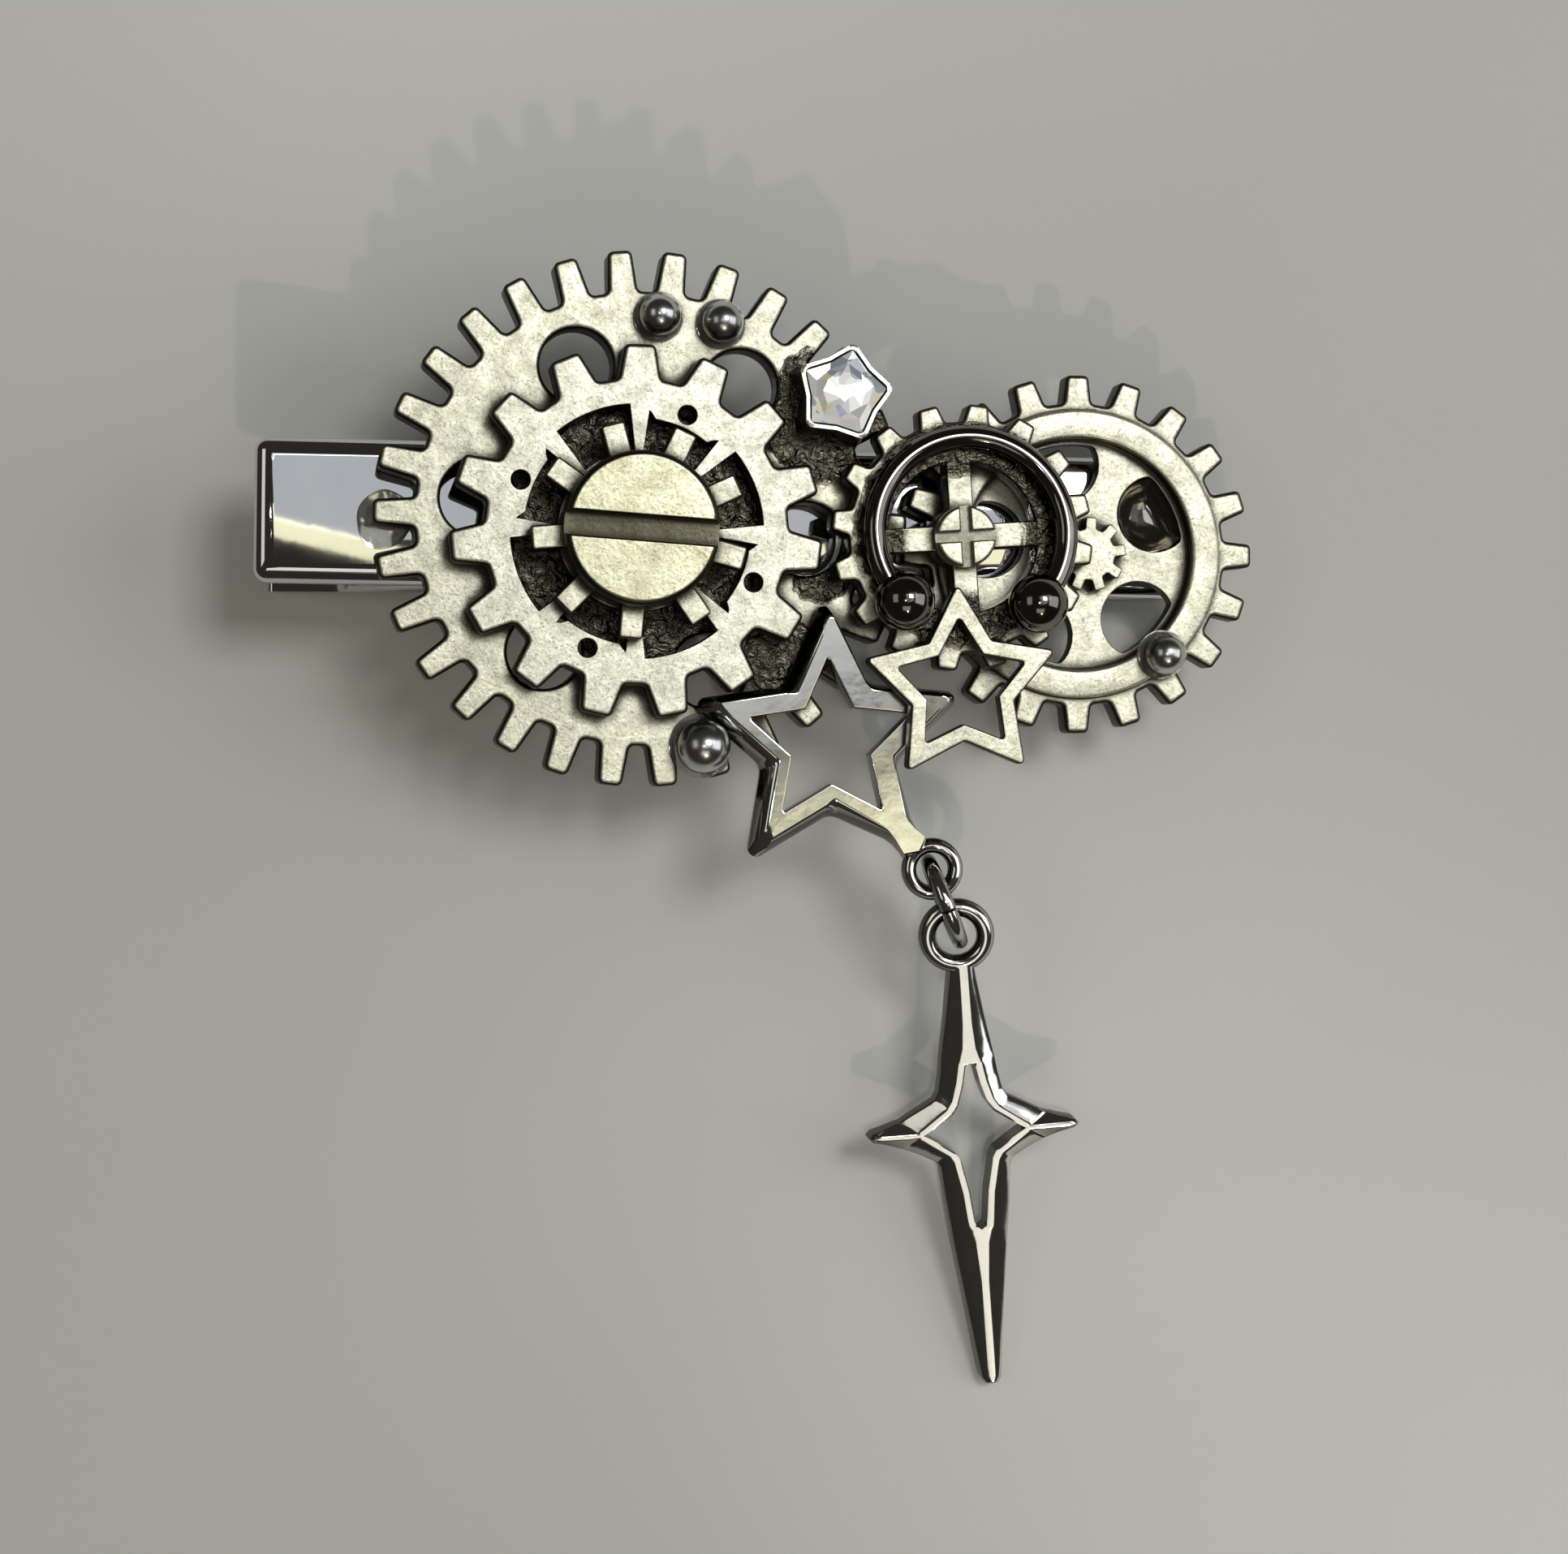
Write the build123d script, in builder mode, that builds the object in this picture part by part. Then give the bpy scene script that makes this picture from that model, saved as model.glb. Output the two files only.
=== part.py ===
from build123d import *
import os
from math import asin, atan2, cos, degrees, radians, sin

# A hair clip lying on a table: a sprung metal clip with cast gears, stars and balls glued on its upper plate.
# Lengths are in millimetres. Along runs from the clip's tail to its nose, across is the other way on the
# plate, and height is measured from the plate's top face. The whole clip leans, because it lies on the tail
# of its lever and on its nose.

# How the clip lies
tail_height = 9.7
lean = 8.5

# Clip plate
clip_length = 45.0
clip_width = 6.9
plate_sheet = 0.7
plate_corner = 0.65
fold_radius = 0.5
flange_depth = 1.5

# Hinge
pin_along = 20.0
pin_depth = 2.3
pin_radius = 0.6
pin_head_radius = 0.95
pin_head_height = 0.25
pin_in_plate = 0.01
pin_in_jaw = 0.05
ear_foot = 5.2
ear_radius = 1.35
side_gap = 0.15

# Jaw and lever
jaw_sheet = 0.6
jaw_wall = 0.45
jaw_end_inset = 0.7
lever_start = 1.0
lever_end = 15.0
bend_radius = 6.0
bite_gap = 0.12
jaw_ear_radius = 1.1
wall_foot = 2.2
wall_shoulder = 5.5
wall_end_inset = 1.3
tooth_count = 7
tooth_start, tooth_pitch = 0.9, 1.3
tooth_gullet, tooth_depth = 0.9, 0.45

# Spring
spring_sheet = 0.35
spring_gap = 0.1
spring_side_gap = 0.55
spring_reach = 13.5

# Gaps between glued pieces
glue_gap = 0.1
stack_gap = 0.05

# Large gear on the plate
rim_along, rim_across = 18.16, -0.23
rim_teeth, rim_phase = 30, 11.6
rim_tip, rim_root = 12.7, 10.75
rim_tooth_root, rim_tooth_tip = 1.42, 1.14
rim_corner = 0.3
rim_thickness = 1.9
rim_holes, rim_hole_phase = 6, 54.2
rim_hole_circle, rim_hole_radius = 7.85, 1.74
bevel = 0.22

# Second gear
wheel_along, wheel_across = 17.75, -0.95
wheel_teeth, wheel_phase = 15, 17.7
wheel_tip, wheel_root = 8.8, 7.2
wheel_tooth_root, wheel_tooth_tip = 2.0, 1.45
wheel_corner = 0.28
wheel_thickness = 1.6
wheel_opening = 5.3
wheel_hub = 3.75
wheel_windows, wheel_window_phase, wheel_window_sweep = 4, 22.3, 38.0
wheel_window_radius, wheel_window_width = 4.9, 2.1
wheel_spoke_phases = (44.5, 89.5)
wheel_spoke_outer, wheel_spoke_inner = 1.0, 0.4
wheel_pin_holes, wheel_pin_phase = 4, 67.4
wheel_pin_circle, wheel_pin_radius = 5.95, 0.45

# Small gear on the second one
pinion_teeth, pinion_phase = 9, 25.5
pinion_tip, pinion_root = 5.1, 3.5
pinion_tooth = 1.12
pinion_corner = 0.15
pinion_thickness = 1.15

# Slotted screw head
slot_screw_radius = 3.62
slot_screw_thickness = 1.35
slot_screw_bevel = 0.3
slot_width, slot_depth = 1.08, 0.7
slot_angle = -3.3

# Side gear
side_from_wheel, side_across = 0.35, -0.9
side_teeth, side_phase = 16, 16.2
side_tip, side_root = 6.35, 5.5
side_tooth_root, side_tooth_tip = 1.3, 0.95
side_corner = 0.22
side_thickness = 1.6
side_opening = 3.6
side_hub = 1.5
side_spoke_width = 1.2
side_spoke_angle = 4.4

# Cross screw head
cross_radius = 1.45
cross_thickness = 0.9
cross_bevel = 0.15
cross_slot_width, cross_slot_depth = 0.46, 0.4

# Horseshoe ring and its balls
horseshoe_shift = (0.17, 0.15)
horseshoe_radius = 4.6
horseshoe_wire = 0.53
horseshoe_opening = 88.0
horseshoe_ball = 1.42
ball_socket_depth = 0.9
ball_socket_gap = 0.04

# Right gear
right_mesh, right_across = 0.21, -1.45
right_teeth, right_phase = 20, 0.6
right_tip, right_root = 8.65, 7.3
right_tooth_root, right_tooth_tip = 1.4, 1.1
right_corner = 0.25
right_thickness = 1.5
right_ring_outer, right_ring_inner = 7.06, 5.58
right_ring_rise = 0.4
right_web = 1.0
right_windows, right_window_phase = 5, 27.7
right_window_circle, right_window_radius = 4.4, 1.83
right_window_limit = 5.45

# Tiny gear on the right gear's web
tiny_shift = (0.51, -0.02)
tiny_teeth, tiny_phase = 9, 8.0
tiny_tip, tiny_root = 1.8, 1.25
tiny_tooth = 0.55
tiny_corner = 0.1
tiny_thickness = 0.85

# Star cup and stone
cup_along, cup_across = 27.33, 5.71
cup_phase = 78.7
cup_base, cup_rim = 2.75, 2.3
cup_height = 2.4
cup_wall = 0.25
cup_pocket = 1.2
cup_notch_share = 0.62
cup_round = 0.08
stone_side, stone_crown = 1.3, 0.75
stone_table = 0.6
stone_gap = 0.04

# Open star with a loop
charm_shift = (8.9, -10.47)
charm_phase = 92.3
charm_tip, charm_notch = 7.05, 3.12
charm_hole_tip, charm_hole_notch = 4.05, 1.96
charm_tip_round, charm_notch_round, charm_hole_round = 0.42, 0.8, 0.12
charm_thickness = 1.35
charm_bevel = 0.36
loop_shift = (5.05, -5.96)
loop_radius, loop_hole = 1.4, 0.88
loop_thickness = 1.1
loop_neck_length, loop_neck_width = 3.0, 1.2

# Flat open star
flat_shift = (-0.15, -7.08)
flat_phase = 93.5
flat_tip, flat_notch = 4.86, 2.6
flat_hole_tip, flat_hole_notch = 3.25, 1.8
flat_round = 0.2
flat_thickness = 1.0
flat_bevel = 0.15

# Pendant
pendant_drop = (1.27, -3.1, -1.75)
pendant_length = 23.1
pendant_heading = -84.66
pendant_ring, pendant_hole = 1.84, 0.94
pendant_thickness = 1.0
pendant_bevel = 0.32
pendant_neck_width = 1.06
pendant_neck_start, pendant_neck_end = 1.3, 2.4
pendant_cross = 9.86
pendant_arm = 5.55
pendant_shoulder_rise, pendant_shoulder = 1.8, 1.65
pendant_lower_drop, pendant_lower = 1.64, 1.76
pendant_tip_width = 0.9
pendant_tip_round = 0.38
window_top_rise, window_bottom_drop = 3.5, 5.0
window_side = 2.46
window_notch_rise, window_notch = 1.15, 0.83

# Jump ring
jump_wire = 0.38
jump_slack = 0.15

# Balls glued on the gears, each placed from its gear's middle
small_ball = 0.97
large_ball = 1.25
bead_1_shift, bead_2_shift, bead_4_shift = (0.61, 9.53), (3.58, 9.28), (2.89, -10.72)
bead_3_shift = (4.08, -4.8)

# Clear glue
glue_lift = 0.02
glue_plate_place, glue_plate_size = (6.1, -0.4), (2.6, 2.9)
glue_plate_thickness = 0.06
glue_window_shift, glue_window_radius = (3.5, 1.75), 0.95
glue_window_height, glue_window_round = 0.6, 0.48


# The plate's top face, and planes that follow it
plate_top = Plane(
    origin=(0, 0, tail_height),
    x_dir=(cos(radians(lean)), 0, -sin(radians(lean))),
    z_dir=(sin(radians(lean)), 0, cos(radians(lean))),
)
upward = Axis((0, 0, 0), plate_top.z_dir)


def seat(along, across, height):
    """A plane parallel to the plate's top face, with its origin at the place given."""
    place = plate_top.from_local_coords((along, across, height))
    return Plane(origin=place, x_dir=plate_top.x_dir, z_dir=plate_top.z_dir)


def side_view(across):
    """An upright plane along the clip: its x runs to the nose and its y away from the plate's top."""
    place = plate_top.from_local_coords((0, across, 0))
    return Plane(origin=place, x_dir=plate_top.x_dir, z_dir=(0, -1, 0))


def table_under(along):
    """Height of the table below a point along the clip, measured square to the plate."""
    return -(tail_height - along * sin(radians(lean))) / cos(radians(lean))


def polar(radius, angle):
    """A point at a distance and an angle from the origin."""
    return (radius * cos(radians(angle)), radius * sin(radians(angle)))


def gear_profile(root, tip, teeth, phase, tooth_root, tooth_tip, corner):
    """A gear's filled outline: straight-sided teeth joined by straight roots, with every corner rounded."""
    root_turn = degrees(asin(tooth_root / 2 / root))
    tip_turn = degrees(asin(tooth_tip / 2 / tip))
    points = []
    for k in range(teeth):
        middle = phase + 360 / teeth * k
        points.append(polar(root, middle - root_turn))
        points.append(polar(tip, middle - tip_turn))
        points.append(polar(tip, middle + tip_turn))
        points.append(polar(root, middle + root_turn))
    with BuildSketch() as profile:
        with BuildLine():
            FilletPolyline(*points, radius=corner, close=True)
        make_face()
    return profile.sketch


def star_profile(tip, notch, phase, tip_round, notch_round):
    """A filled five-pointed star with its points and its notches rounded."""
    points = []
    for k in range(5):
        points.append(polar(tip, phase + 72 * k))
        points.append(polar(notch, phase + 72 * k + 36))
    with BuildSketch() as profile:
        with BuildLine():
            FilletPolyline(*points, radius=[tip_round, notch_round] * 5, close=True)
        make_face()
    return profile.sketch


def moved(place, shift):
    """A place along and across, shifted by the amounts given."""
    return (place[0] + shift[0], place[1] + shift[1])


# Places along and across: the side gear stands beside the second gear, and the right gear meets the large one
rim_place = (rim_along, rim_across)
wheel_place = (wheel_along, wheel_across)
side_place = (wheel_along + wheel_tip + side_from_wheel + side_tip, side_across)
right_place = (rim_along + rim_tip + right_tip - right_mesh, right_across)
charm_place = moved(rim_place, charm_shift)
loop_place = moved(charm_place, loop_shift)

# Layers above the plate, each resting on the one before it
rim_top = glue_gap + rim_thickness
wheel_base = rim_top + stack_gap
wheel_top = wheel_base + wheel_thickness
pinion_base = wheel_top + stack_gap
pinion_top = pinion_base + pinion_thickness
side_top = wheel_base + side_thickness
flat_base = side_top + stack_gap

# Clip plate: a strip with its sides and its tail end folded down, and an ear each side for the pin
half_width = clip_width / 2
with BuildPart() as clip_plate:
    with BuildSketch(seat(0, 0, 0)) as strip:
        Rectangle(clip_length, clip_width, align=(Align.MIN, Align.CENTER))
        fillet(strip.vertices(), plate_corner)
    extrude(amount=-flange_depth)
    fillet(clip_plate.faces().sort_by(upward)[-1].edges(), fold_radius)
    with BuildSketch(seat(plate_sheet, 0, -plate_sheet)):
        Rectangle(
            clip_length,
            clip_width - 2 * plate_sheet,
            align=(Align.MIN, Align.CENTER),
        )
    extrude(amount=-flange_depth, mode=Mode.SUBTRACT)
    for side in (-1, 1):
        with BuildSketch(side_view(side * (half_width - plate_sheet / 2))):
            with Locations((pin_along, -pin_depth)):
                Circle(ear_radius)
            Polygon(
                (pin_along - ear_foot / 2, -plate_sheet),
                (pin_along + ear_foot / 2, -plate_sheet),
                (pin_along + ear_radius, -pin_depth),
                (pin_along - ear_radius, -pin_depth),
            )
        extrude(amount=plate_sheet / 2, both=True)
    with BuildSketch(side_view(0)):
        with Locations((pin_along, -pin_depth)):
            Circle(pin_radius + pin_in_plate)
    extrude(amount=clip_width, both=True, mode=Mode.SUBTRACT)

# Jaw and lever: one bent strip that touches the table at its two ends, with side walls towards the nose
jaw_half = half_width - plate_sheet - side_gap
end_round = jaw_sheet / 2
lever_tip = (
    lever_start,
    table_under(lever_start) + end_round / cos(radians(lean)),
)
nose_along = clip_length - jaw_end_inset
nose_tip = (nose_along, table_under(nose_along) + end_round / cos(radians(lean)))
knee_depth = pin_depth + pin_radius + 2 * spring_gap + spring_sheet + end_round
knee = (pin_along, -knee_depth)
lever_share = (lever_end - lever_start) / (pin_along - lever_start)
lever_stop = (
    lever_end,
    lever_tip[1] + lever_share * (knee[1] - lever_tip[1]),
)
with BuildPart() as clip_jaw:
    with BuildSketch(side_view(0)):
        with BuildLine():
            FilletPolyline(lever_tip, knee, nose_tip, radius=bend_radius)
        trace(line_width=jaw_sheet)
        with Locations(lever_tip, nose_tip):
            Circle(end_round)
    extrude(amount=jaw_half, both=True)
    with BuildSketch(side_view(0)):
        with BuildLine():
            Line(lever_tip, lever_stop)
        trace(line_width=jaw_sheet)
        with Locations(lever_tip, lever_stop):
            Circle(end_round)
    extrude(amount=half_width, both=True)
    wall_top = -plate_sheet - bite_gap
    wall_end = clip_length - wall_end_inset
    for side in (-1, 1):
        with BuildSketch(side_view(side * (jaw_half - jaw_wall / 2))):
            with Locations((pin_along, -pin_depth)):
                Circle(jaw_ear_radius)
            Polygon(
                (pin_along - wall_foot, knee[1] - end_round),
                (pin_along - jaw_ear_radius, -pin_depth),
                (pin_along + jaw_ear_radius, -pin_depth),
                (pin_along + wall_shoulder, wall_top),
                (wall_end, wall_top),
                nose_tip,
                knee,
            )
            for k in range(tooth_count):
                gullet = wall_end - tooth_start - k * tooth_pitch
                Polygon(
                    (gullet - tooth_gullet / 2, wall_top),
                    (gullet, wall_top - tooth_depth),
                    (gullet + tooth_gullet / 2, wall_top),
                    mode=Mode.SUBTRACT,
                )
        extrude(amount=jaw_wall / 2, both=True)
    with BuildSketch(side_view(0)):
        with Locations((pin_along, -pin_depth)):
            Circle(pin_radius + pin_in_jaw)
    extrude(amount=clip_width, both=True, mode=Mode.SUBTRACT)

# Hinge pin: a shaft with a flat rivet head at each end
with BuildPart() as hinge_pin:
    with BuildSketch(side_view(0)):
        with Locations((pin_along, -pin_depth)):
            Circle(pin_radius)
    extrude(amount=half_width + stack_gap, both=True)
    for side in (-1, 1):
        with BuildSketch(side_view(side * (half_width + stack_gap))):
            with Locations((pin_along, -pin_depth)):
                Circle(pin_head_radius)
        extrude(amount=-side * pin_head_height)

# Spring: a flat strip bent round the pin, one arm under the plate and one along the lever
spring_bend = pin_radius + spring_gap + spring_sheet / 2
spring_half_width = jaw_half - jaw_wall - spring_side_gap
lever_slope = atan2(knee[1] - lever_tip[1], pin_along - lever_tip[0])
lower_lift = end_round + spring_gap + spring_sheet / 2
upper_arm = (
    pin_along - spring_reach,
    -plate_sheet - spring_gap - spring_sheet / 2,
)
lower_foot = (
    pin_along - spring_reach,
    knee[1] - spring_reach * (knee[1] - lever_tip[1]) / (pin_along - lever_tip[0]),
)
lower_arm = (
    lower_foot[0] - lower_lift * sin(lever_slope),
    lower_foot[1] + lower_lift / cos(lever_slope),
)
with BuildPart() as clip_spring:
    with BuildSketch(side_view(0)):
        with BuildLine():
            Line(upper_arm, (pin_along, -pin_depth + spring_bend))
            ThreePointArc(
                (pin_along, -pin_depth + spring_bend),
                (pin_along + spring_bend, -pin_depth),
                (pin_along, -pin_depth - spring_bend),
            )
            Line((pin_along, -pin_depth - spring_bend), lower_arm)
        trace(line_width=spring_sheet)
    extrude(amount=spring_half_width, both=True)

# Large gear with six round holes
rim_profile = gear_profile(
    rim_root,
    rim_tip,
    rim_teeth,
    rim_phase,
    rim_tooth_root,
    rim_tooth_tip,
    rim_corner,
)
with BuildPart() as gear_rim:
    with BuildSketch(seat(*rim_place, glue_gap)):
        add(rim_profile)
        with PolarLocations(rim_hole_circle, rim_holes, rim_hole_phase):
            Circle(rim_hole_radius, mode=Mode.SUBTRACT)
    extrude(amount=rim_thickness)
    chamfer(gear_rim.faces().sort_by(upward)[-1].edges(), bevel)

# Second gear: a toothed ring with windows, thin spokes and a hub
wheel_profile = gear_profile(
    wheel_root,
    wheel_tip,
    wheel_teeth,
    wheel_phase,
    wheel_tooth_root,
    wheel_tooth_tip,
    wheel_corner,
)
with BuildPart() as gear_wheel:
    with BuildSketch(seat(*wheel_place, wheel_base)):
        add(wheel_profile)
        Circle(wheel_opening, mode=Mode.SUBTRACT)
        for k in range(wheel_windows):
            middle = wheel_window_phase + 360 / wheel_windows * k
            with BuildLine() as window_arc:
                CenterArc(
                    (0, 0),
                    wheel_window_radius,
                    middle - wheel_window_sweep / 2,
                    wheel_window_sweep,
                )
            SlotArc(
                window_arc.edge(), wheel_window_width, mode=Mode.SUBTRACT
            )
        for phase in wheel_spoke_phases:
            with PolarLocations(0, wheel_windows, phase):
                Polygon(
                    (wheel_hub - 0.5, -wheel_spoke_inner / 2),
                    (wheel_opening + 0.3, -wheel_spoke_outer / 2),
                    (wheel_opening + 0.3, wheel_spoke_outer / 2),
                    (wheel_hub - 0.5, wheel_spoke_inner / 2),
                )
        Circle(wheel_hub)
        with PolarLocations(wheel_pin_circle, wheel_pin_holes, wheel_pin_phase):
            Circle(wheel_pin_radius, mode=Mode.SUBTRACT)
    extrude(amount=wheel_thickness)

# Small gear on the second one
pinion_profile = gear_profile(
    pinion_root,
    pinion_tip,
    pinion_teeth,
    pinion_phase,
    pinion_tooth,
    pinion_tooth,
    pinion_corner,
)
with BuildPart() as gear_pinion:
    with BuildSketch(seat(*wheel_place, pinion_base)):
        add(pinion_profile)
    extrude(amount=pinion_thickness)
    chamfer(gear_pinion.faces().sort_by(upward)[-1].edges(), bevel / 2)

# Slotted screw head
with BuildPart() as slot_screw:
    with BuildSketch(seat(*wheel_place, pinion_top + stack_gap)):
        Circle(slot_screw_radius)
    extrude(amount=slot_screw_thickness)
    chamfer(slot_screw.faces().sort_by(upward)[-1].edges(), slot_screw_bevel)
    slot_floor = pinion_top + stack_gap + slot_screw_thickness - slot_depth
    with BuildSketch(seat(*wheel_place, slot_floor)):
        Rectangle(3 * slot_screw_radius, slot_width, rotation=slot_angle)
    extrude(amount=2 * slot_depth, mode=Mode.SUBTRACT)

# Side gear with four spokes
side_profile = gear_profile(
    side_root,
    side_tip,
    side_teeth,
    side_phase,
    side_tooth_root,
    side_tooth_tip,
    side_corner,
)
with BuildPart() as gear_side:
    with BuildSketch(seat(*side_place, wheel_base)):
        add(side_profile)
        Circle(side_opening, mode=Mode.SUBTRACT)
        Circle(side_hub)
        Rectangle(2 * side_opening + 0.4, side_spoke_width, rotation=side_spoke_angle)
        Rectangle(side_spoke_width, 2 * side_opening + 0.4, rotation=side_spoke_angle)
    extrude(amount=side_thickness)
    chamfer(gear_side.faces().sort_by(upward)[-1].edges(), bevel)

# Cross screw head in the side gear's middle
with BuildPart() as cross_screw:
    with BuildSketch(seat(*side_place, side_top + stack_gap)):
        Circle(cross_radius)
    extrude(amount=cross_thickness)
    chamfer(cross_screw.faces().sort_by(upward)[-1].edges(), cross_bevel)
    cross_floor = side_top + stack_gap + cross_thickness - cross_slot_depth
    with BuildSketch(seat(*side_place, cross_floor)):
        Rectangle(3 * cross_radius, cross_slot_width, rotation=side_spoke_angle)
        Rectangle(cross_slot_width, 3 * cross_radius, rotation=side_spoke_angle)
    extrude(amount=2 * cross_slot_depth, mode=Mode.SUBTRACT)

# Horseshoe ring: it leans on its two balls and on the far side of its own wire
ball_centre_height = flat_base + horseshoe_ball
far_wire_height = flat_base + horseshoe_wire
ball_angle = 90 - horseshoe_opening / 2
ball_reach = horseshoe_radius * sin(radians(ball_angle))
horseshoe_lean = degrees(
    asin((ball_centre_height - far_wire_height) / (horseshoe_radius + ball_reach))
)
centre_height = far_wire_height + horseshoe_radius * sin(radians(horseshoe_lean))
level_seat = seat(*moved(side_place, horseshoe_shift), centre_height)
horseshoe_seat = level_seat.rotated((-horseshoe_lean, 0, 0))
wire_short = horseshoe_ball - ball_socket_depth
wire_end_turn = degrees((wire_short + ball_socket_gap) / horseshoe_radius)
socket_end_turn = degrees(2 * horseshoe_ball / horseshoe_radius)
with BuildPart() as horseshoe_ring:
    with BuildLine(horseshoe_seat) as wire_path:
        CenterArc(
            (0, 0),
            horseshoe_radius,
            wire_end_turn - ball_angle,
            180 + 2 * (ball_angle - wire_end_turn),
        )
    with BuildSketch(Plane(origin=wire_path.edge() @ 0, z_dir=wire_path.edge() % 0)):
        Circle(horseshoe_wire)
    sweep()


def ring_ball(end_angle, way):
    """A ball on the ring's end, with a blind socket for the wire, which leaves anticlockwise if way is 1."""
    place = polar(horseshoe_radius, end_angle)
    centre = horseshoe_seat.from_local_coords((place[0], place[1], 0))
    socket_turn = degrees(wire_short / horseshoe_radius)
    with BuildPart(Plane(centre)) as ball:
        Sphere(horseshoe_ball)
        with BuildLine(horseshoe_seat) as socket_path:
            CenterArc(
                (0, 0),
                horseshoe_radius,
                end_angle + way * socket_turn,
                way * (socket_end_turn - socket_turn),
            )
        with BuildSketch(
            Plane(origin=socket_path.edge() @ 0, z_dir=socket_path.edge() % 0)
        ):
            Circle(horseshoe_wire + ball_socket_gap)
        sweep(mode=Mode.SUBTRACT)
    return ball


horseshoe_ball_left = ring_ball(180 + ball_angle, -1)
horseshoe_ball_right = ring_ball(-ball_angle, 1)

# Right gear: a toothed disc with a raised ring, a sunk web and five windows clipped by the ring
right_profile = gear_profile(
    right_root,
    right_tip,
    right_teeth,
    right_phase,
    right_tooth_root,
    right_tooth_tip,
    right_corner,
)
web_top = glue_gap + right_web
right_top = glue_gap + right_thickness + right_ring_rise
with BuildPart() as gear_right:
    with BuildSketch(seat(*right_place, glue_gap)):
        add(right_profile)
    extrude(amount=right_thickness)
    chamfer(gear_right.faces().sort_by(upward)[-1].edges(), bevel)
    with BuildSketch(seat(*right_place, web_top)):
        Circle(right_ring_outer)
        Circle(right_ring_inner, mode=Mode.SUBTRACT)
    extrude(amount=right_top - web_top)
    with BuildSketch(seat(*right_place, web_top)):
        Circle(right_ring_inner)
    extrude(amount=right_top, mode=Mode.SUBTRACT)
    chamfer(gear_right.faces().sort_by(upward)[-1].edges(), bevel)
    with BuildSketch(seat(*right_place, 0)) as windows:
        with PolarLocations(right_window_circle, right_windows, right_window_phase):
            Circle(right_window_radius)
        Circle(right_window_limit, mode=Mode.INTERSECT)
    extrude(amount=right_top, mode=Mode.SUBTRACT)

# Tiny gear on the right gear's web
tiny_profile = gear_profile(
    tiny_root,
    tiny_tip,
    tiny_teeth,
    tiny_phase,
    tiny_tooth,
    tiny_tooth,
    tiny_corner,
)
with BuildPart() as right_pinion:
    with BuildSketch(seat(*moved(right_place, tiny_shift), web_top + stack_gap)):
        add(tiny_profile)
    extrude(amount=tiny_thickness)


def cup_star(size):
    """The plump star that the cup and its stone share, at the size given."""
    return star_profile(
        size, size * cup_notch_share, cup_phase, size * cup_round, size * cup_round
    )


# Star cup: a flared star wall with a pocket for the stone
cup_base_height = wheel_base
cup_top_height = cup_base_height + cup_height
with BuildPart() as star_setting:
    with BuildSketch(seat(cup_along, cup_across, cup_base_height)):
        add(cup_star(cup_base))
    with BuildSketch(seat(cup_along, cup_across, cup_top_height)):
        add(cup_star(cup_rim))
    loft()
    pocket = cup_rim - cup_wall / cup_notch_share
    with BuildSketch(seat(cup_along, cup_across, cup_top_height - cup_pocket)):
        add(cup_star(pocket))
    extrude(amount=2 * cup_pocket, mode=Mode.SUBTRACT)

# Star stone: straight sides up to its girdle, then a faceted crown with a small table
stone_size = pocket - stone_gap / cup_notch_share
stone_base_height = cup_top_height - cup_pocket + stone_gap
stone_girdle_height = stone_base_height + stone_side
with BuildPart() as star_stone:
    with BuildSketch(seat(cup_along, cup_across, stone_base_height)):
        add(cup_star(stone_size))
    extrude(amount=stone_side)
    with BuildSketch(seat(cup_along, cup_across, stone_girdle_height)):
        add(cup_star(stone_size))
    with BuildSketch(seat(cup_along, cup_across, stone_girdle_height + stone_crown)):
        add(cup_star(stone_size * stone_table))
    loft()

# Open star with a loop at the end of one arm
charm_base = wheel_base
loop_base = charm_base + (charm_thickness - loop_thickness) / 2
loop_direction = degrees(atan2(loop_shift[1], loop_shift[0]))
charm_outer = star_profile(
    charm_tip, charm_notch, charm_phase, charm_tip_round, charm_notch_round
)
charm_hole = star_profile(
    charm_hole_tip, charm_hole_notch, charm_phase, charm_hole_round, charm_hole_round
)
with BuildPart() as star_charm:
    with BuildSketch(seat(*charm_place, charm_base)):
        add(charm_outer)
        add(charm_hole, mode=Mode.SUBTRACT)
    extrude(amount=charm_thickness)
    charm_top = star_charm.faces().sort_by(upward)[-1]
    chamfer(charm_top.outer_wire().edges(), charm_bevel)
    with BuildSketch(seat(*loop_place, loop_base)):
        Circle(loop_radius)
        Rectangle(
            loop_neck_length,
            loop_neck_width,
            rotation=loop_direction,
            align=(Align.MAX, Align.CENTER),
        )
    extrude(amount=loop_thickness)
    with BuildSketch(seat(*loop_place, charm_base - stack_gap)):
        Circle(loop_hole)
    extrude(amount=2 * charm_thickness, mode=Mode.SUBTRACT)

# Flat open star on top
flat_outer = star_profile(flat_tip, flat_notch, flat_phase, flat_round, flat_round)
flat_hole = star_profile(
    flat_hole_tip, flat_hole_notch, flat_phase, flat_round, flat_round
)
with BuildPart() as star_flat:
    with BuildSketch(seat(*moved(side_place, flat_shift), flat_base)):
        add(flat_outer)
        add(flat_hole, mode=Mode.SUBTRACT)
    extrude(amount=flat_thickness)
    chamfer(star_flat.faces().sort_by(upward)[-1].edges(), flat_bevel)

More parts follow.
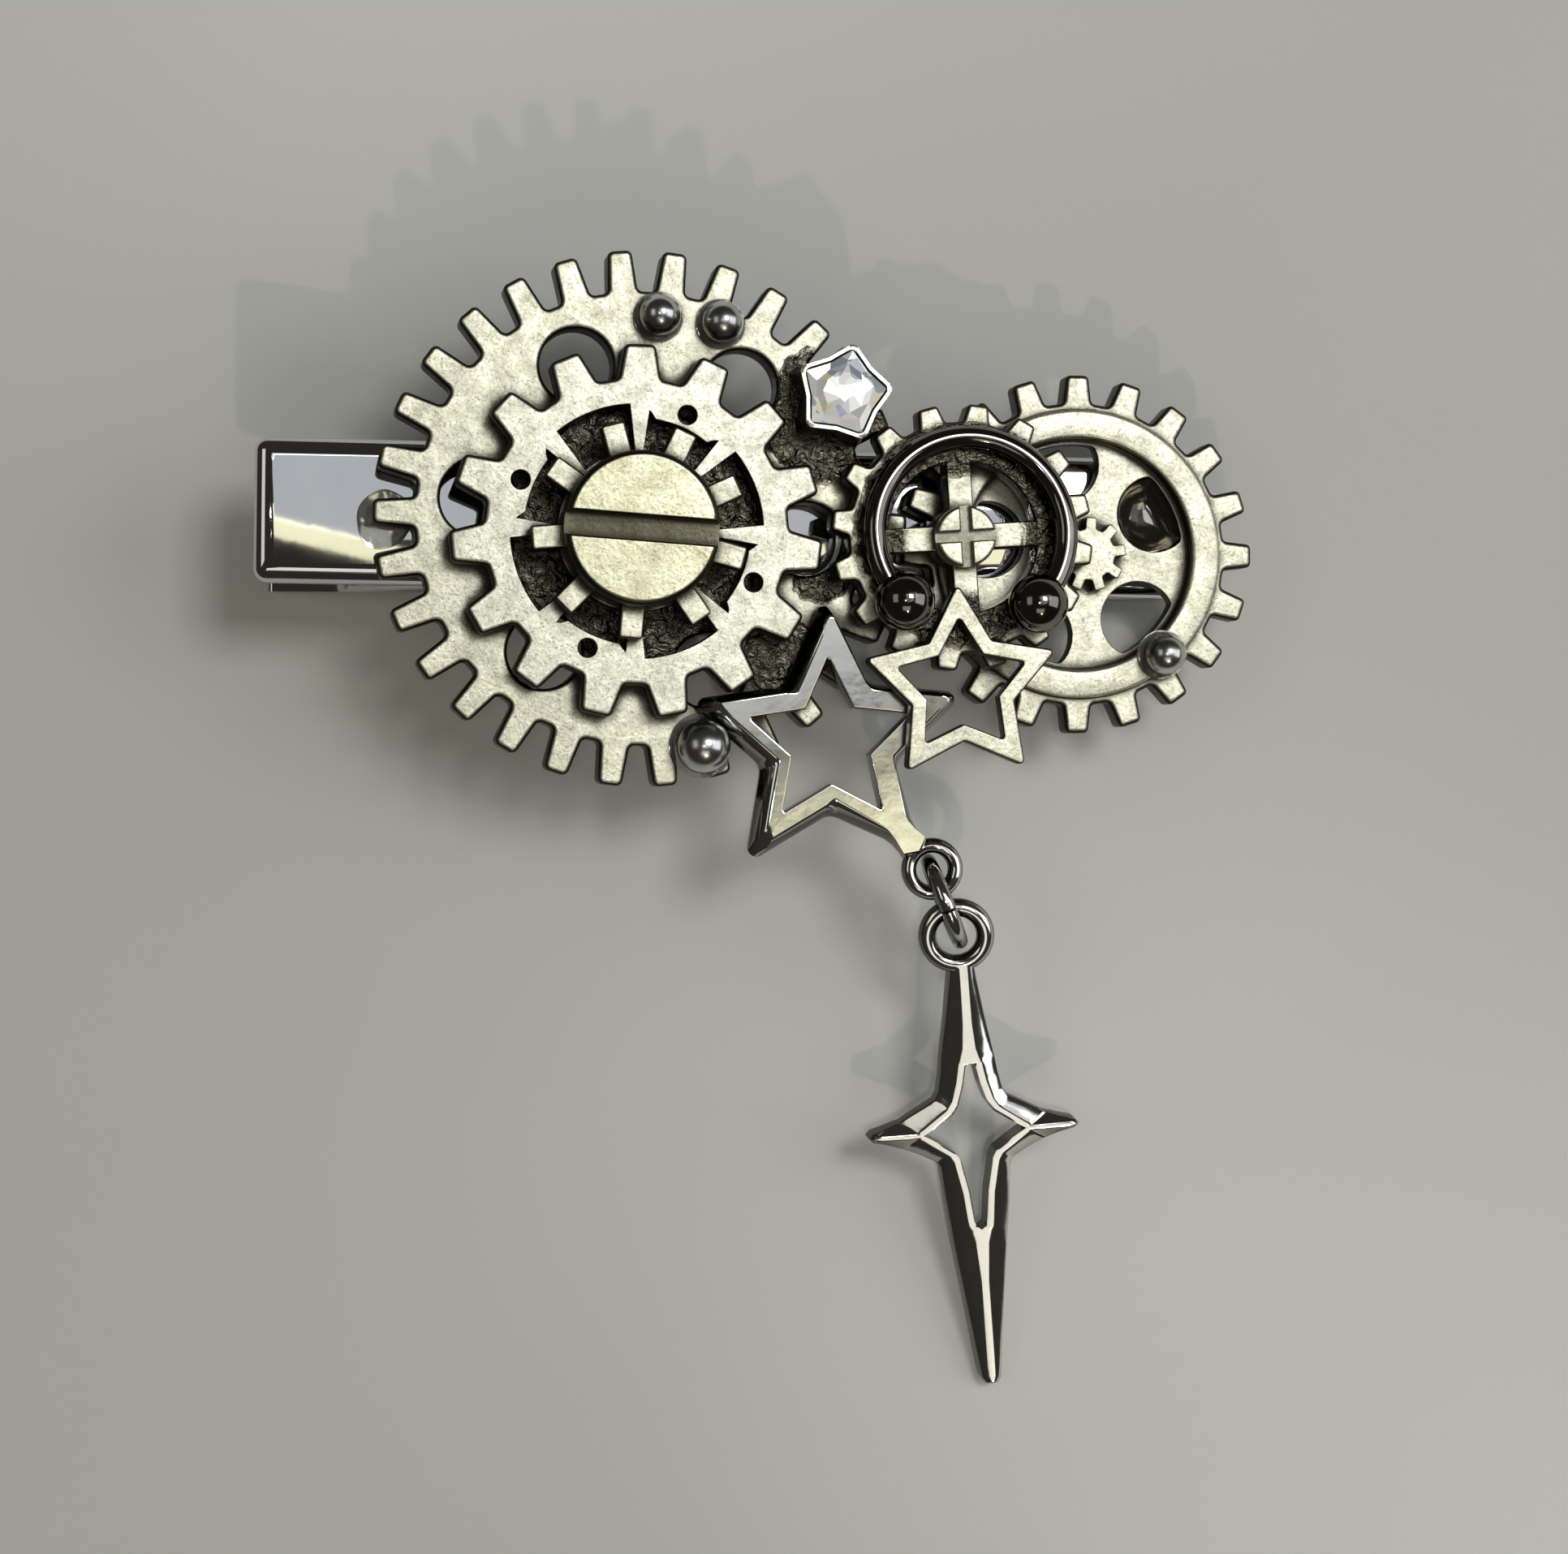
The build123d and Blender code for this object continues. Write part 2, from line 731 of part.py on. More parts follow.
# Pendant: it slopes from its ring down to the table, which its tip touches
upper_hole = seat(*loop_place, charm_base + charm_thickness / 2).origin
lower_hole = upper_hole + Vector(*pendant_drop)
pendant_back_height = lower_hole.Z - pendant_thickness / 2
slope = asin(pendant_back_height / pendant_length)
heading = radians(pendant_heading)
pendant_back = Plane(
    origin=(lower_hole.X, lower_hole.Y, pendant_back_height),
    x_dir=(cos(slope) * cos(heading), cos(slope) * sin(heading), -sin(slope)),
    z_dir=(sin(slope) * cos(heading), sin(slope) * sin(heading), cos(slope)),
)
half_neck = pendant_neck_width / 2
half_tip = pendant_tip_width / 2
shoulder_along = pendant_cross - pendant_shoulder_rise
lower_along = pendant_cross + pendant_lower_drop
with BuildPart() as pendant:
    with BuildSketch(pendant_back) as pendant_outline:
        with BuildLine() as half_outline:
            Polyline(
                (pendant_neck_start, 0),
                (pendant_neck_start, half_neck),
                (pendant_neck_end, half_neck),
                (shoulder_along, pendant_shoulder),
                (pendant_cross, pendant_arm),
                (lower_along, pendant_lower),
                (pendant_length, half_tip),
                (pendant_length, 0),
            )
            mirror(about=Plane.XZ)
        make_face()
        Circle(pendant_ring)
        tips = pendant_outline.vertices().sort_by(Axis.Y)
        fillet([tips[0], tips[-1]], pendant_tip_round)
        fillet(pendant_outline.vertices().sort_by(Axis.X)[-2:], pendant_tip_round)
        with BuildLine():
            Polyline(
                (pendant_cross - window_top_rise, 0),
                (pendant_cross - window_notch_rise, window_notch),
                (pendant_cross, window_side),
                (pendant_cross + window_notch_rise, window_notch),
                (pendant_cross + window_bottom_drop, 0),
            )
            mirror(about=Plane.XZ)
        make_face(mode=Mode.SUBTRACT)
    extrude(amount=pendant_thickness)
    chamfer(
        pendant.faces()
        .sort_by(Axis((0, 0, 0), pendant_back.z_dir))[-1]
        .outer_wire()
        .edges(),
        pendant_bevel,
    )
    with BuildSketch(pendant_back):
        Circle(pendant_hole)
    extrude(amount=pendant_thickness, mode=Mode.SUBTRACT)

# Jump ring: it runs through the middle of the charm's loop and of the pendant's ring
jump_span = lower_hole - upper_hole
with BuildPart(
    Plane(origin=(upper_hole + lower_hole) * 0.5, z_dir=jump_span.cross(Vector(0, 0, 1)))
) as jump_ring:
    Torus(jump_span.length / 2 + jump_slack, jump_wire)


def glued_ball(place, radius, rests_on):
    """A solid ball that stands on the surface at the height given."""
    with BuildPart(seat(*place, rests_on + stack_gap + radius)) as ball:
        Sphere(radius)
    return ball


bead_1 = glued_ball(moved(rim_place, bead_1_shift), small_ball, rim_top)
bead_2 = glued_ball(moved(rim_place, bead_2_shift), small_ball, rim_top)
bead_3 = glued_ball(moved(right_place, bead_3_shift), small_ball, right_top)
bead_4 = glued_ball(moved(rim_place, bead_4_shift), large_ball, rim_top)

# Clear glue: a thin pool on the plate under the large gear's teeth, and a drop in a window of the right gear
with BuildPart() as glue_plate:
    with BuildSketch(seat(*glue_plate_place, glue_lift)):
        Ellipse(glue_plate_size[0] / 2, glue_plate_size[1] / 2)
    extrude(amount=glue_plate_thickness)

with BuildPart() as glue_window:
    with BuildSketch(seat(*moved(right_place, glue_window_shift), glue_lift)):
        Circle(glue_window_radius)
    extrude(amount=glue_window_height)
    fillet(glue_window.faces().sort_by(upward)[-1].edges(), glue_window_round)

# The origin is on the table, under the middle of the whole clip
pieces = {
    "clip_plate": clip_plate,
    "clip_jaw": clip_jaw,
    "hinge_pin": hinge_pin,
    "clip_spring": clip_spring,
    "gear_rim": gear_rim,
    "gear_wheel": gear_wheel,
    "gear_pinion": gear_pinion,
    "slot_screw": slot_screw,
    "gear_side": gear_side,
    "cross_screw": cross_screw,
    "horseshoe_ring": horseshoe_ring,
    "horseshoe_ball_left": horseshoe_ball_left,
    "horseshoe_ball_right": horseshoe_ball_right,
    "gear_right": gear_right,
    "right_pinion": right_pinion,
    "star_setting": star_setting,
    "star_stone": star_stone,
    "star_charm": star_charm,
    "star_flat": star_flat,
    "pendant": pendant,
    "jump_ring": jump_ring,
    "bead_1": bead_1,
    "bead_2": bead_2,
    "bead_3": bead_3,
    "bead_4": bead_4,
    "glue_plate": glue_plate,
    "glue_window": glue_window,
}
whole = Compound([piece.part for piece in pieces.values()]).bounding_box()
to_origin = Pos(-whole.center().X, -whole.center().Y, -whole.min.Z)

os.makedirs("parts", exist_ok=True)
for name, piece in pieces.items():
    piece.part = to_origin * piece.part
    piece.part.label = name
    export_step(piece.part, f"parts/{name}.step")
print("whole clip", whole.size, "moved by", to_origin.position)
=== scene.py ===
import math

import bmesh
import bpy
import numpy as np
from mathutils import Matrix, Vector
from mathutils.geometry import tessellate_polygon


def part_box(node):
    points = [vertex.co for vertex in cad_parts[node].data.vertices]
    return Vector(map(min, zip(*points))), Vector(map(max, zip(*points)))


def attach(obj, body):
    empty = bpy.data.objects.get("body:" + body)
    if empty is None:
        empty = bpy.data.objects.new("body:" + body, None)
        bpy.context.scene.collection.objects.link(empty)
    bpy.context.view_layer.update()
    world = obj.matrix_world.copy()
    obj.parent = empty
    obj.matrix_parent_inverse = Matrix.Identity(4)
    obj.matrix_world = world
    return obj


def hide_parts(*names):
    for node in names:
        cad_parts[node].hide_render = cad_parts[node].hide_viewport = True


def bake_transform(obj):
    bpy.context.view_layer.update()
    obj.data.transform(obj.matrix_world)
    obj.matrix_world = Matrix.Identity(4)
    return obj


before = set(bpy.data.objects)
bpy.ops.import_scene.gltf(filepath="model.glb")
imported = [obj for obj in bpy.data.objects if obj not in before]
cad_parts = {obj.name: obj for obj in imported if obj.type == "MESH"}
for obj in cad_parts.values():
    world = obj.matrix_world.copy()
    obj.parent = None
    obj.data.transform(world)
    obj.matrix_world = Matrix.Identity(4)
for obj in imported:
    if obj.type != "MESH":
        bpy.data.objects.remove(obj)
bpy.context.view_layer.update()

scene = bpy.context.scene

# The table and the view of it.
# A plain pale sheet lies under the clip. The camera looks straight down on it from a hand's height, turned a
# little to the left, as the photograph was taken.
scene.view_settings.view_transform = "Standard"

camera_data = bpy.data.cameras.new("view")
camera_data.sensor_width = 36.0
camera_data.lens = 81.19
camera_data.clip_start = 0.01


def put(name, data):
    """An object in the scene that holds a mesh, a light or a camera."""
    holder = bpy.data.objects.new(name, data)
    scene.collection.objects.link(holder)
    return holder


camera = put("view", camera_data)
camera.location = (0.00161, 0.00257, 0.176)
camera.rotation_euler = (0.0, 0.0, math.radians(0.66))
scene.camera = camera


class Finish:
    """A material in the making. An input of a node is named, or numbered where names repeat, and is given a
    number, a vector, a colour as a tuple, or another node's output. What is the same all over a surface is
    set on the shader's own sockets."""

    def __init__(self, name, inputs):
        self.material = bpy.data.materials.new(name)
        self.material.use_nodes = True
        self.tree = self.material.node_tree
        self.shader = self.tree.nodes["Principled BSDF"]
        self.where = self.tree.nodes.new("ShaderNodeTexCoord").outputs["Object"]
        self.feed(self.shader, inputs)

    def feed(self, node, inputs):
        """Links or sets each input of a node."""
        for socket, value in inputs.items():
            if isinstance(value, bpy.types.NodeSocket):
                self.tree.links.new(value, node.inputs[socket])
            else:
                node.inputs[socket].default_value = (*value, 1.0) if isinstance(value, tuple) else value

    def add(self, kind, output, inputs, **choices):
        """Adds a node, makes its choices, then feeds its inputs. Gives the output that is named."""
        node = self.tree.nodes.new("ShaderNode" + kind)
        for choice, value in choices.items():
            setattr(node, choice, value)
        self.feed(node, inputs)
        return node.outputs[output]

    def noise(self, scale, detail=2.0, rough=0.5, twist=0.0):
        """A noise through the solid piece, from nought to one."""
        inputs = {"Scale": scale, "Detail": detail, "Roughness": rough, "Distortion": twist}
        return self.add("TexNoise", "Fac", {"Vector": self.where, **inputs})

    def ramp(self, value, *stops, interpolation="LINEAR"):
        """Runs a value through colours, each given with the value that it stands at."""
        node = self.tree.nodes.new("ShaderNodeValToRGB")
        node.color_ramp.interpolation = interpolation
        for position, colour in stops[1:-1]:
            node.color_ramp.elements.new(position)
        for element, (position, colour) in zip(node.color_ramp.elements, stops):
            element.position = position
            element.color = (*colour, 1.0)
        self.feed(node, {"Fac": value})
        return node.outputs["Color"]

    def cover(self, colour, height, strength, distance):
        """Lays the colour on, and a bump of the height given."""
        bump = self.add("Bump", "Normal", {"Strength": strength, "Distance": distance, "Height": height})
        self.feed(self.shader, {"Base Color": colour, "Normal": bump})
        return self.material


# matt, a grey with a faint cloudiness, and a grain of a tenth of a millimetre
sheet = Finish("pale_sheet", {"Roughness": 0.75, "Specular IOR Level": 0.25})
sheet_grey = sheet.ramp(sheet.noise(28.0), (0.3, (0.775, 0.785, 0.752)), (0.7, (0.805, 0.812, 0.778)))
table_mesh = bpy.data.meshes.new("table")
half_table = 1.5
table_corners = half_table * np.array([(-1, -1, 0), (1, -1, 0), (1, 1, 0), (-1, 1, 0)])
table_mesh.from_pydata(table_corners.tolist(), [], [(0, 1, 2, 3)])
table_mesh.materials.append(sheet.cover(sheet_grey, sheet.noise(9000.0), 0.12, 0.00005))
table = put("table", table_mesh)

# The light.
# A soft window light stands to the far right over a pale ceiling, which ends at a slanting warm edge. Low
# walls glow a little to the left and right, and a small warm lamp on the near side throws the second shadow.
world = bpy.data.worlds.new("room")
scene.world = world
world.use_nodes = True
world.node_tree.nodes["Background"].inputs["Color"].default_value = (0.97, 0.93, 0.84, 1.0)
world.node_tree.nodes["Background"].inputs["Strength"].default_value = 0.03


def panel(name, east, north, height, width, depth, radiance, colour, turn=0.0):
    """A glowing rectangle, level with the table, whose middle is seen from the clip at the angles given, in
    degrees from straight up towards +X and +Y. Its width runs along X before it is turned about its middle,
    and its power is its radiance times pi times its area."""
    light = bpy.data.lights.new(name, "AREA")
    light.shape = "RECTANGLE"
    light.size, light.size_y = width, depth
    light.energy = radiance * math.pi * width * depth
    light.color = colour
    holder = put(name, light)
    holder.location = np.multiply((math.tan(math.radians(east)), math.tan(math.radians(north)), 1.0), height)
    holder.rotation_euler = (0.0, 0.0, math.radians(turn))
    return holder


def wall(name, east, north, distance, width, depth, radiance, colour):
    """A panel that faces the clip from the side, at a distance."""
    holder = panel(name, east, north, distance, width, depth, radiance, colour)
    way = holder.location.normalized()
    along = (Vector((1.0, 0.0, 0.0)) - way * way.x).normalized()
    holder.location = way * distance
    holder.rotation_euler = Matrix((along, way.cross(along), way)).transposed().to_euler()


slant = 20.7
panel("window_light", 22.5, 17.0, 0.8, 0.25, 0.22, 10.7, (1.0, 0.99, 0.95))
panel("ceiling", 30.7, 20.3, 1.0, 1.10, 0.45, 0.60, (0.90, 0.94, 1.0), slant)
panel("warm_edge", 7.75, -0.9, 0.8, 0.024, 0.22, 1.3, (1.0, 0.97, 0.66), slant)
panel("warm_wall", 23.0, -0.9, 0.8, 0.28, 0.07, 1.25, (1.0, 0.96, 0.66), slant)
panel("white_edge", 7.0, 20.5, 0.8, 0.14, 0.018, 3.5, (1.0, 0.99, 0.93), 42.0)
panel("near_shelf", 6.0, -32.0, 0.8, 0.46, 0.30, 0.95, (1.0, 0.97, 0.88))
panel("warm_lamp", 13.0, -43.0, 0.8, 0.025, 0.025, 600.0, (1.0, 0.88, 0.68))
wall("right_wall", 58.0, 10.0, 1.0, 0.7, 0.6, 1.4, (0.97, 0.98, 1.0))
wall("left_wall", -38.0, 9.0, 0.8, 0.26, 0.40, 0.8, (1.0, 0.98, 0.88))


def pool(name, place, radius, strength):
    """A soft round pool of light on the table, from straight above: a cone whose edge fades over its whole
    width. It lies beside the clip and gives the sheet its slow change from corner to corner."""
    light = bpy.data.lights.new(name, "SPOT")
    height = 0.6
    light.spot_size = 2 * math.atan(radius / height)
    light.spot_blend = 1.0
    light.shadow_soft_size = 0.02
    light.energy = strength * 4 * math.pi**2 * height**2
    put(name, light).location = (*place, height)


pool("near_right_pool", (0.046, -0.046), 0.040, 0.14)
pool("middle_pool", (0.016, -0.014), 0.034, 0.09)
pool("far_left_pool", (-0.036, 0.060), 0.048, 0.07)
pool("far_middle_pool", (-0.008, 0.055), 0.030, 0.09)
pool("far_right_pool", (0.036, 0.060), 0.048, 0.03)

# The clip's upper strip.
# Bright plated spring steel, pressed from one sheet: slightly arched, its sides and tail folded down, with
# two ears for the hinge pin. All else is glued on it. It leans because the clip lies on its lever's tail.
lean = math.radians(8.5)
pin_along, pin_depth = 20.0, 2.3
pin_middle = np.add(*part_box("hinge_pin")) / 2
lean_cos, lean_sin = math.cos(lean), math.sin(lean)
clip_axes = np.array([(lean_cos, 0.0, -lean_sin), (0.0, 1.0, 0.0), (lean_sin, 0.0, lean_cos)])


def on_clip(points):
    """Millimetres along, across and above the strip's top, turned by the lean about the pin, in metres."""
    return pin_middle + (np.asarray(points, float) - (pin_along, 0.0, -pin_depth)) @ clip_axes / 1000


def stacked(outlines, heights):
    """Rows of points from closed outlines, given as complex numbers, with a height for each row or point."""
    outlines = np.asarray(outlines)
    heights = np.broadcast_to(np.asarray(heights, float).reshape(len(outlines), -1), outlines.shape)
    return np.stack([outlines.real, outlines.imag, heights], -1)


def joined(rows, ends="open"):
    """Points and faces of a surface: each row of points closes on itself, and four-sided faces join it to the
    next. As a "ring" the last row is joined to the first, and with "flat" ends both get one flat face."""
    grid = np.arange(rows[..., 0].size).reshape(rows.shape[:2])
    lower = np.vstack([grid, grid[:1]]) if ends == "ring" else grid
    after = np.roll(lower, -1, axis=1)
    faces = np.stack([lower[:-1], after[:-1], after[1:], lower[1:]], -1).reshape(-1, 4).tolist()
    return rows.reshape(-1, 3), faces + ([grid[0].tolist(), grid[-1].tolist()] if ends == "flat" else [])


def clean(mesh, near, slivers=True):
    """Merges points nearer than the distance given, drops faces with no area and turns all faces outwards."""
    shell = bmesh.new()
    shell.from_mesh(mesh)
    bmesh.ops.remove_doubles(shell, verts=shell.verts, dist=near)
    if slivers:
        bmesh.ops.dissolve_degenerate(shell, edges=shell.edges, dist=near)
    bmesh.ops.recalc_face_normals(shell, faces=shell.faces)
    shell.to_mesh(mesh)
    shell.free()


def make_piece(name, node, points, faces, material, slot, body="clip", sharp=38.0, recess=None, finish=None):
    """A closed piece from points in metres and faces, in place of a node of the part. Every edge steeper than
    the angle given stays sharp. recess is a number for each point, and finish says which of the piece's
    materials each face has."""
    mesh = bpy.data.meshes.new(name)
    mesh.from_pydata(np.asarray(points).tolist(), [], faces)
    if recess is not None:
        values = mesh.attributes.new("recess", "FLOAT", "POINT").data
        values.foreach_set("value", np.asarray(recess, np.float32))
    if finish is not None:
        mesh.polygons.foreach_set("material_index", np.asarray(finish, np.int32))
    clean(mesh, 2e-7)
    mesh.shade_smooth()
    mesh.set_sharp_from_angle(angle=math.radians(sharp))
    mesh.materials.append(material)
    piece = put(name, mesh)
    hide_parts(node)
    if body:
        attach(piece, body)
    return piece


def metal(
    name, bright, dark, roughness, dull, grain, grain_depth, cloud, patina_and_shade=0.0, pits=0.0, pockets=(), sides=0.0
):
    """A metal: its colour runs between bright and dark by a soft noise, its roughness between two values by
    the same noise, with a fine bump. pits is how far small crooked marks darken it. Where its patina and
    shade share is above nought, the attribute recess darkens walls and rounded edges, as patina and as
    painted shade and dark reflection, and crevices darken as painted shade where ambient occlusion finds
    the light kept out of them. So does each pocket: all that lies between two distances, in millimetres,
    from the point of the clip given with them, is painted dark, lumpy and glossy: old glue beside the parts,
    painted shade under the parts that stand over it. sides is how far steep sides are painted dark, as
    painted shade and dark reflection."""
    skin = Finish(name, {"Metallic": 1.0})
    # the near black paints patina and shade in hollows; the last colour paints shade and dark reflection on
    # steep sides
    near_black, pit_grey, side_shade = (0.022, 0.019, 0.013), (0.11, 0.105, 0.085), (0.05, 0.045, 0.036)

    def spread(value, low, high, to_low=0.0, to_high=1.0):
        """Carries a range over to another in a straight line, and stops at its ends."""
        inputs = {"Value": value, "From Min": low, "From Max": high, "To Min": to_low, "To Max": to_high}
        return skin.add("MapRange", "Result", inputs)

    def combine(operation, first, second):
        return skin.add("Math", "Value", {0: first, 1: second}, operation=operation)

    def mix(share, first, second):
        """The first colour where the share is nought, the second where it is one."""
        return skin.add("Mix", "Result", {"Factor": share, "A": first, "B": second}, data_type="RGBA")

    soft = skin.noise(cloud, 4.0, 0.6)
    colour = mix(spread(soft, 0.32, 0.62), dark, bright)
    rough = spread(soft, 0.3, 0.7, dull, roughness)
    height = skin.noise(grain, 3.0)
    if pits:
        marks = spread(skin.noise(5600.0, 2.5, 0.55, 1.6), 0.50, 0.34, 0.0, pits)
        colour = mix(marks, colour, pit_grey)
    if patina_and_shade:
        # painted shade: contact bands and crevices darken where ambient occlusion finds little open sky,
        # together with the recess attribute's patina and painted shade
        recess = skin.add("Attribute", "Fac", {}, attribute_name="recess")
        open_sky = skin.add("AmbientOcclusion", "AO", {"Distance": 0.0008}, samples=6)
        shut = combine("MAXIMUM", recess, spread(open_sky, 0.84, 0.70))
        for middle, near, far in pockets:
            away = skin.add("VectorMath", "Value", {0: skin.where, 1: on_clip(middle)}, operation="DISTANCE")
            ragged = combine("ADD", away, spread(soft, 0.0, 1.0, -0.0005, 0.0005))
            inside = spread(ragged, far / 1000 + 0.00015, far / 1000 - 0.00015)
            if near:
                beyond = spread(ragged, near / 1000 - 0.0002, near / 1000 + 0.0002)
                inside = combine("MINIMUM", inside, beyond)
            shut = combine("MAXIMUM", shut, inside)
            lumps = combine("MULTIPLY", inside, skin.noise(1500.0, 3.0, 0.5, 1.2))
            height = combine("ADD", height, combine("MULTIPLY", lumps, 11.0))
            rough = combine("MULTIPLY", rough, spread(inside, 0.0, 1.0, 1.0, 0.45))
        colour = mix(combine("MULTIPLY", shut, patina_and_shade), colour, near_black)
    if sides:
        # painted shade and dark reflection: steep sides are darkened by their normal alone
        facing = skin.add("NewGeometry", "Normal", {})
        upward = skin.add("VectorMath", "Value", {0: facing, 1: clip_axes[2]}, operation="DOT_PRODUCT")
        colour = mix(spread(upward, 0.80, 0.50, 0.0, sides), colour, side_shade)
    skin.feed(skin.shader, {"Roughness": rough})
    return skin.cover(colour, height, 1.0, grain_depth)


strip_length, strip_half, strip_sheet = 45.0, 3.45, 0.7
strip_corner, strip_fold, fold_reach, strip_arch = 0.65, 0.62, 0.84, 0.24
flange_low, burr = 1.5, 0.08
ear_radius, ear_foot = 1.35, 1.975
plated_steel = metal("plated_steel", (0.71, 0.70, 0.70), (0.66, 0.66, 0.67), 0.03, 0.05, 900.0, 6e-7, 300.0)

tail_side = np.linspace(1.2, pin_along - ear_foot, 16)
ear_side = pin_along + ear_radius * np.sin(np.radians(np.linspace(-90, 90, 15)))
nose_side = np.linspace(pin_along + ear_foot, strip_length - 1.2, 20)
side_along = np.concatenate([tail_side, ear_side, nose_side])
end_across = np.linspace(-0.86, 0.86, 15)
corner_turn = np.exp(1j * np.radians(np.linspace(0, 90, 8)))


def strip_row(in_by):
    """The strip's outline, anticlockwise from the near tail corner, moved in by a distance: two long sides,
    two ends and four quarter rounds, always with the same number of points."""
    corner = max(strip_corner - in_by, 0.0)
    half = strip_half - in_by
    left, right = in_by, strip_length - in_by
    tail, nose, side = left + corner, right - corner, 1j * (half - corner)
    keep = np.clip(side_along, tail, nose)
    across = end_across * max(half - corner, 0.0)
    return np.concatenate(
        [
            keep - 1j * half,
            nose - side - 1j * corner * corner_turn,
            right + 1j * across,
            nose + side + corner * corner_turn,
            keep[::-1] + 1j * half,
            tail + side + 1j * corner * corner_turn,
            left - 1j * across,
            tail - side - corner * corner_turn,
        ]
    )


def flange_depth(outline):
    """How far the folded edge reaches down at each point of the outline: 1.5 mm along the sides and the tail,
    down round the pin at the ears, and only the sheet and its fold at the open nose."""
    from_pin = np.abs(outline.real - pin_along)
    ear = pin_depth + np.sqrt(np.clip(ear_radius**2 - from_pin**2, 0.0, None))
    slope = flange_low + (ear_foot - from_pin) * (pin_depth - flange_low) / (ear_foot - ear_radius)
    depth = np.where(from_pin < ear_radius, ear, np.where(from_pin < ear_foot, slope, flange_low))
    return np.where(outline.real > strip_length - strip_corner, strip_sheet + strip_fold, depth)


def arch(outline):
    """The strip's gentle arch: a parabola across it, nought on the middle line."""
    return -strip_arch * (outline.imag / strip_half) ** 2


outer, inner = strip_row(0.0), strip_row(strip_sheet)
deep = -flange_depth(outer)
under_arch = arch(inner) - strip_sheet
rows = [strip_row(in_by) for in_by in (strip_half, 3.1, 2.7, 2.2, 1.7, 1.3, 1.05)]
heights = [arch(row) - strip_sheet for row in rows]
rows += [inner, inner, strip_row(strip_sheet - burr), strip_row(burr), outer]
heights += [under_arch - 0.15, np.minimum(deep + burr, under_arch - 0.2), deep, deep, deep + burr]
for turn in np.radians(np.linspace(0, 90, 9)):
    rows.append(strip_row(fold_reach * (1 - math.cos(turn))))
    heights.append(arch(rows[-1]) - strip_fold * (1 - math.sin(turn)))
for in_by in (0.95, 1.2, 1.6, 2.1, 2.6, 3.0, strip_half):
    rows.append(strip_row(in_by))
    heights.append(arch(rows[-1]))
strip = joined(on_clip(stacked(rows, heights)))
make_piece("strip", "clip_plate", *strip, plated_steel, "clip_metal", sharp=50.0)

# The large gear.
# A cast gear in warm white metal, thirty teeth and six round holes, the widest piece of the clip. It was cast
# flat, tumbled so that its edges are soft, and rubbed bright on top. Its walls and rounded edges are painted
# dark, as patina and as painted shade, and so are patches of old glue and the painted shade under the second
# gear's windows.


def rounded(corners, radius, steps=6):
    """A closed outline with each corner replaced by an arc of the radius given, tangent to both its sides:
    the arc starts radius times the tangent of half the turn before the corner, and turns by its turn."""
    corners = np.asarray(corners, complex)
    back, ahead = corners - np.roll(corners, 1), np.roll(corners, -1) - corners
    back, ahead = back / abs(back), ahead / abs(ahead)
    turn = np.angle(ahead / back)
    start = corners - back * radius * np.tan(abs(turn) / 2)
    centre = start + 1j * back * radius * np.sign(turn)
    share = np.linspace(0, 1, steps)
    return (centre[:, None] + (start - centre)[:, None] * np.exp(1j * turn[:, None] * share)).ravel()


def spoke(radius, angle):
    """The point at a radius and an angle in degrees, as a complex number."""
    return radius * np.exp(1j * np.radians(angle))


def gear_outline(root, tip, teeth, phase, foot, face, corner):
    """Straight-sided teeth of the widths given at their foot and face, with every corner rounded."""
    root_turn = math.degrees(math.asin(foot / 2 / root))
    tip_turn = math.degrees(math.asin(face / 2 / tip))
    middle = phase + 360 / teeth * np.arange(teeth)[:, None]
    radius = np.array([root, tip, tip, root])
    turn = np.array([-root_turn, -tip_turn, tip_turn, root_turn])
    return rounded(spoke(radius, middle + turn).ravel(), corner)


def hole(centre, radius, steps=48):
    """A round hole: a circle run clockwise, so that the metal is on its left."""
    return centre + radius * np.exp(-2j * np.pi * np.arange(steps) / steps)


def inset(outline, distance):
    """An outline moved into the metal on its left by a distance, along the mean normal of each point's two
    sides, lengthened so that the sides keep their distance."""
    side = np.roll(outline, -1) - outline
    side = side / abs(side)
    back = np.roll(side, 1)
    return outline + 1j * distance * (side + back) / (1 + (side * back.conj()).real)


def edge_wall(outline, low, high, rounding, flat=0.03):
    """The wall of a casting: a small round at the bottom, straight up, a quarter round of the radius given,
    and one more row a little way in on the flat top."""
    under = 0.06
    foot, turn = np.linspace(0, np.pi / 2, 3), np.linspace(0, np.pi / 2, 6)
    distance = [*(under * (1 - np.sin(foot))), *(rounding * (1 - np.cos(turn))), rounding + flat]
    height = [*(low + under * (1 - np.cos(foot))), *(high - rounding * (1 - np.sin(turn))), high]
    return np.array([inset(outline, d) for d in distance]), np.array(height)


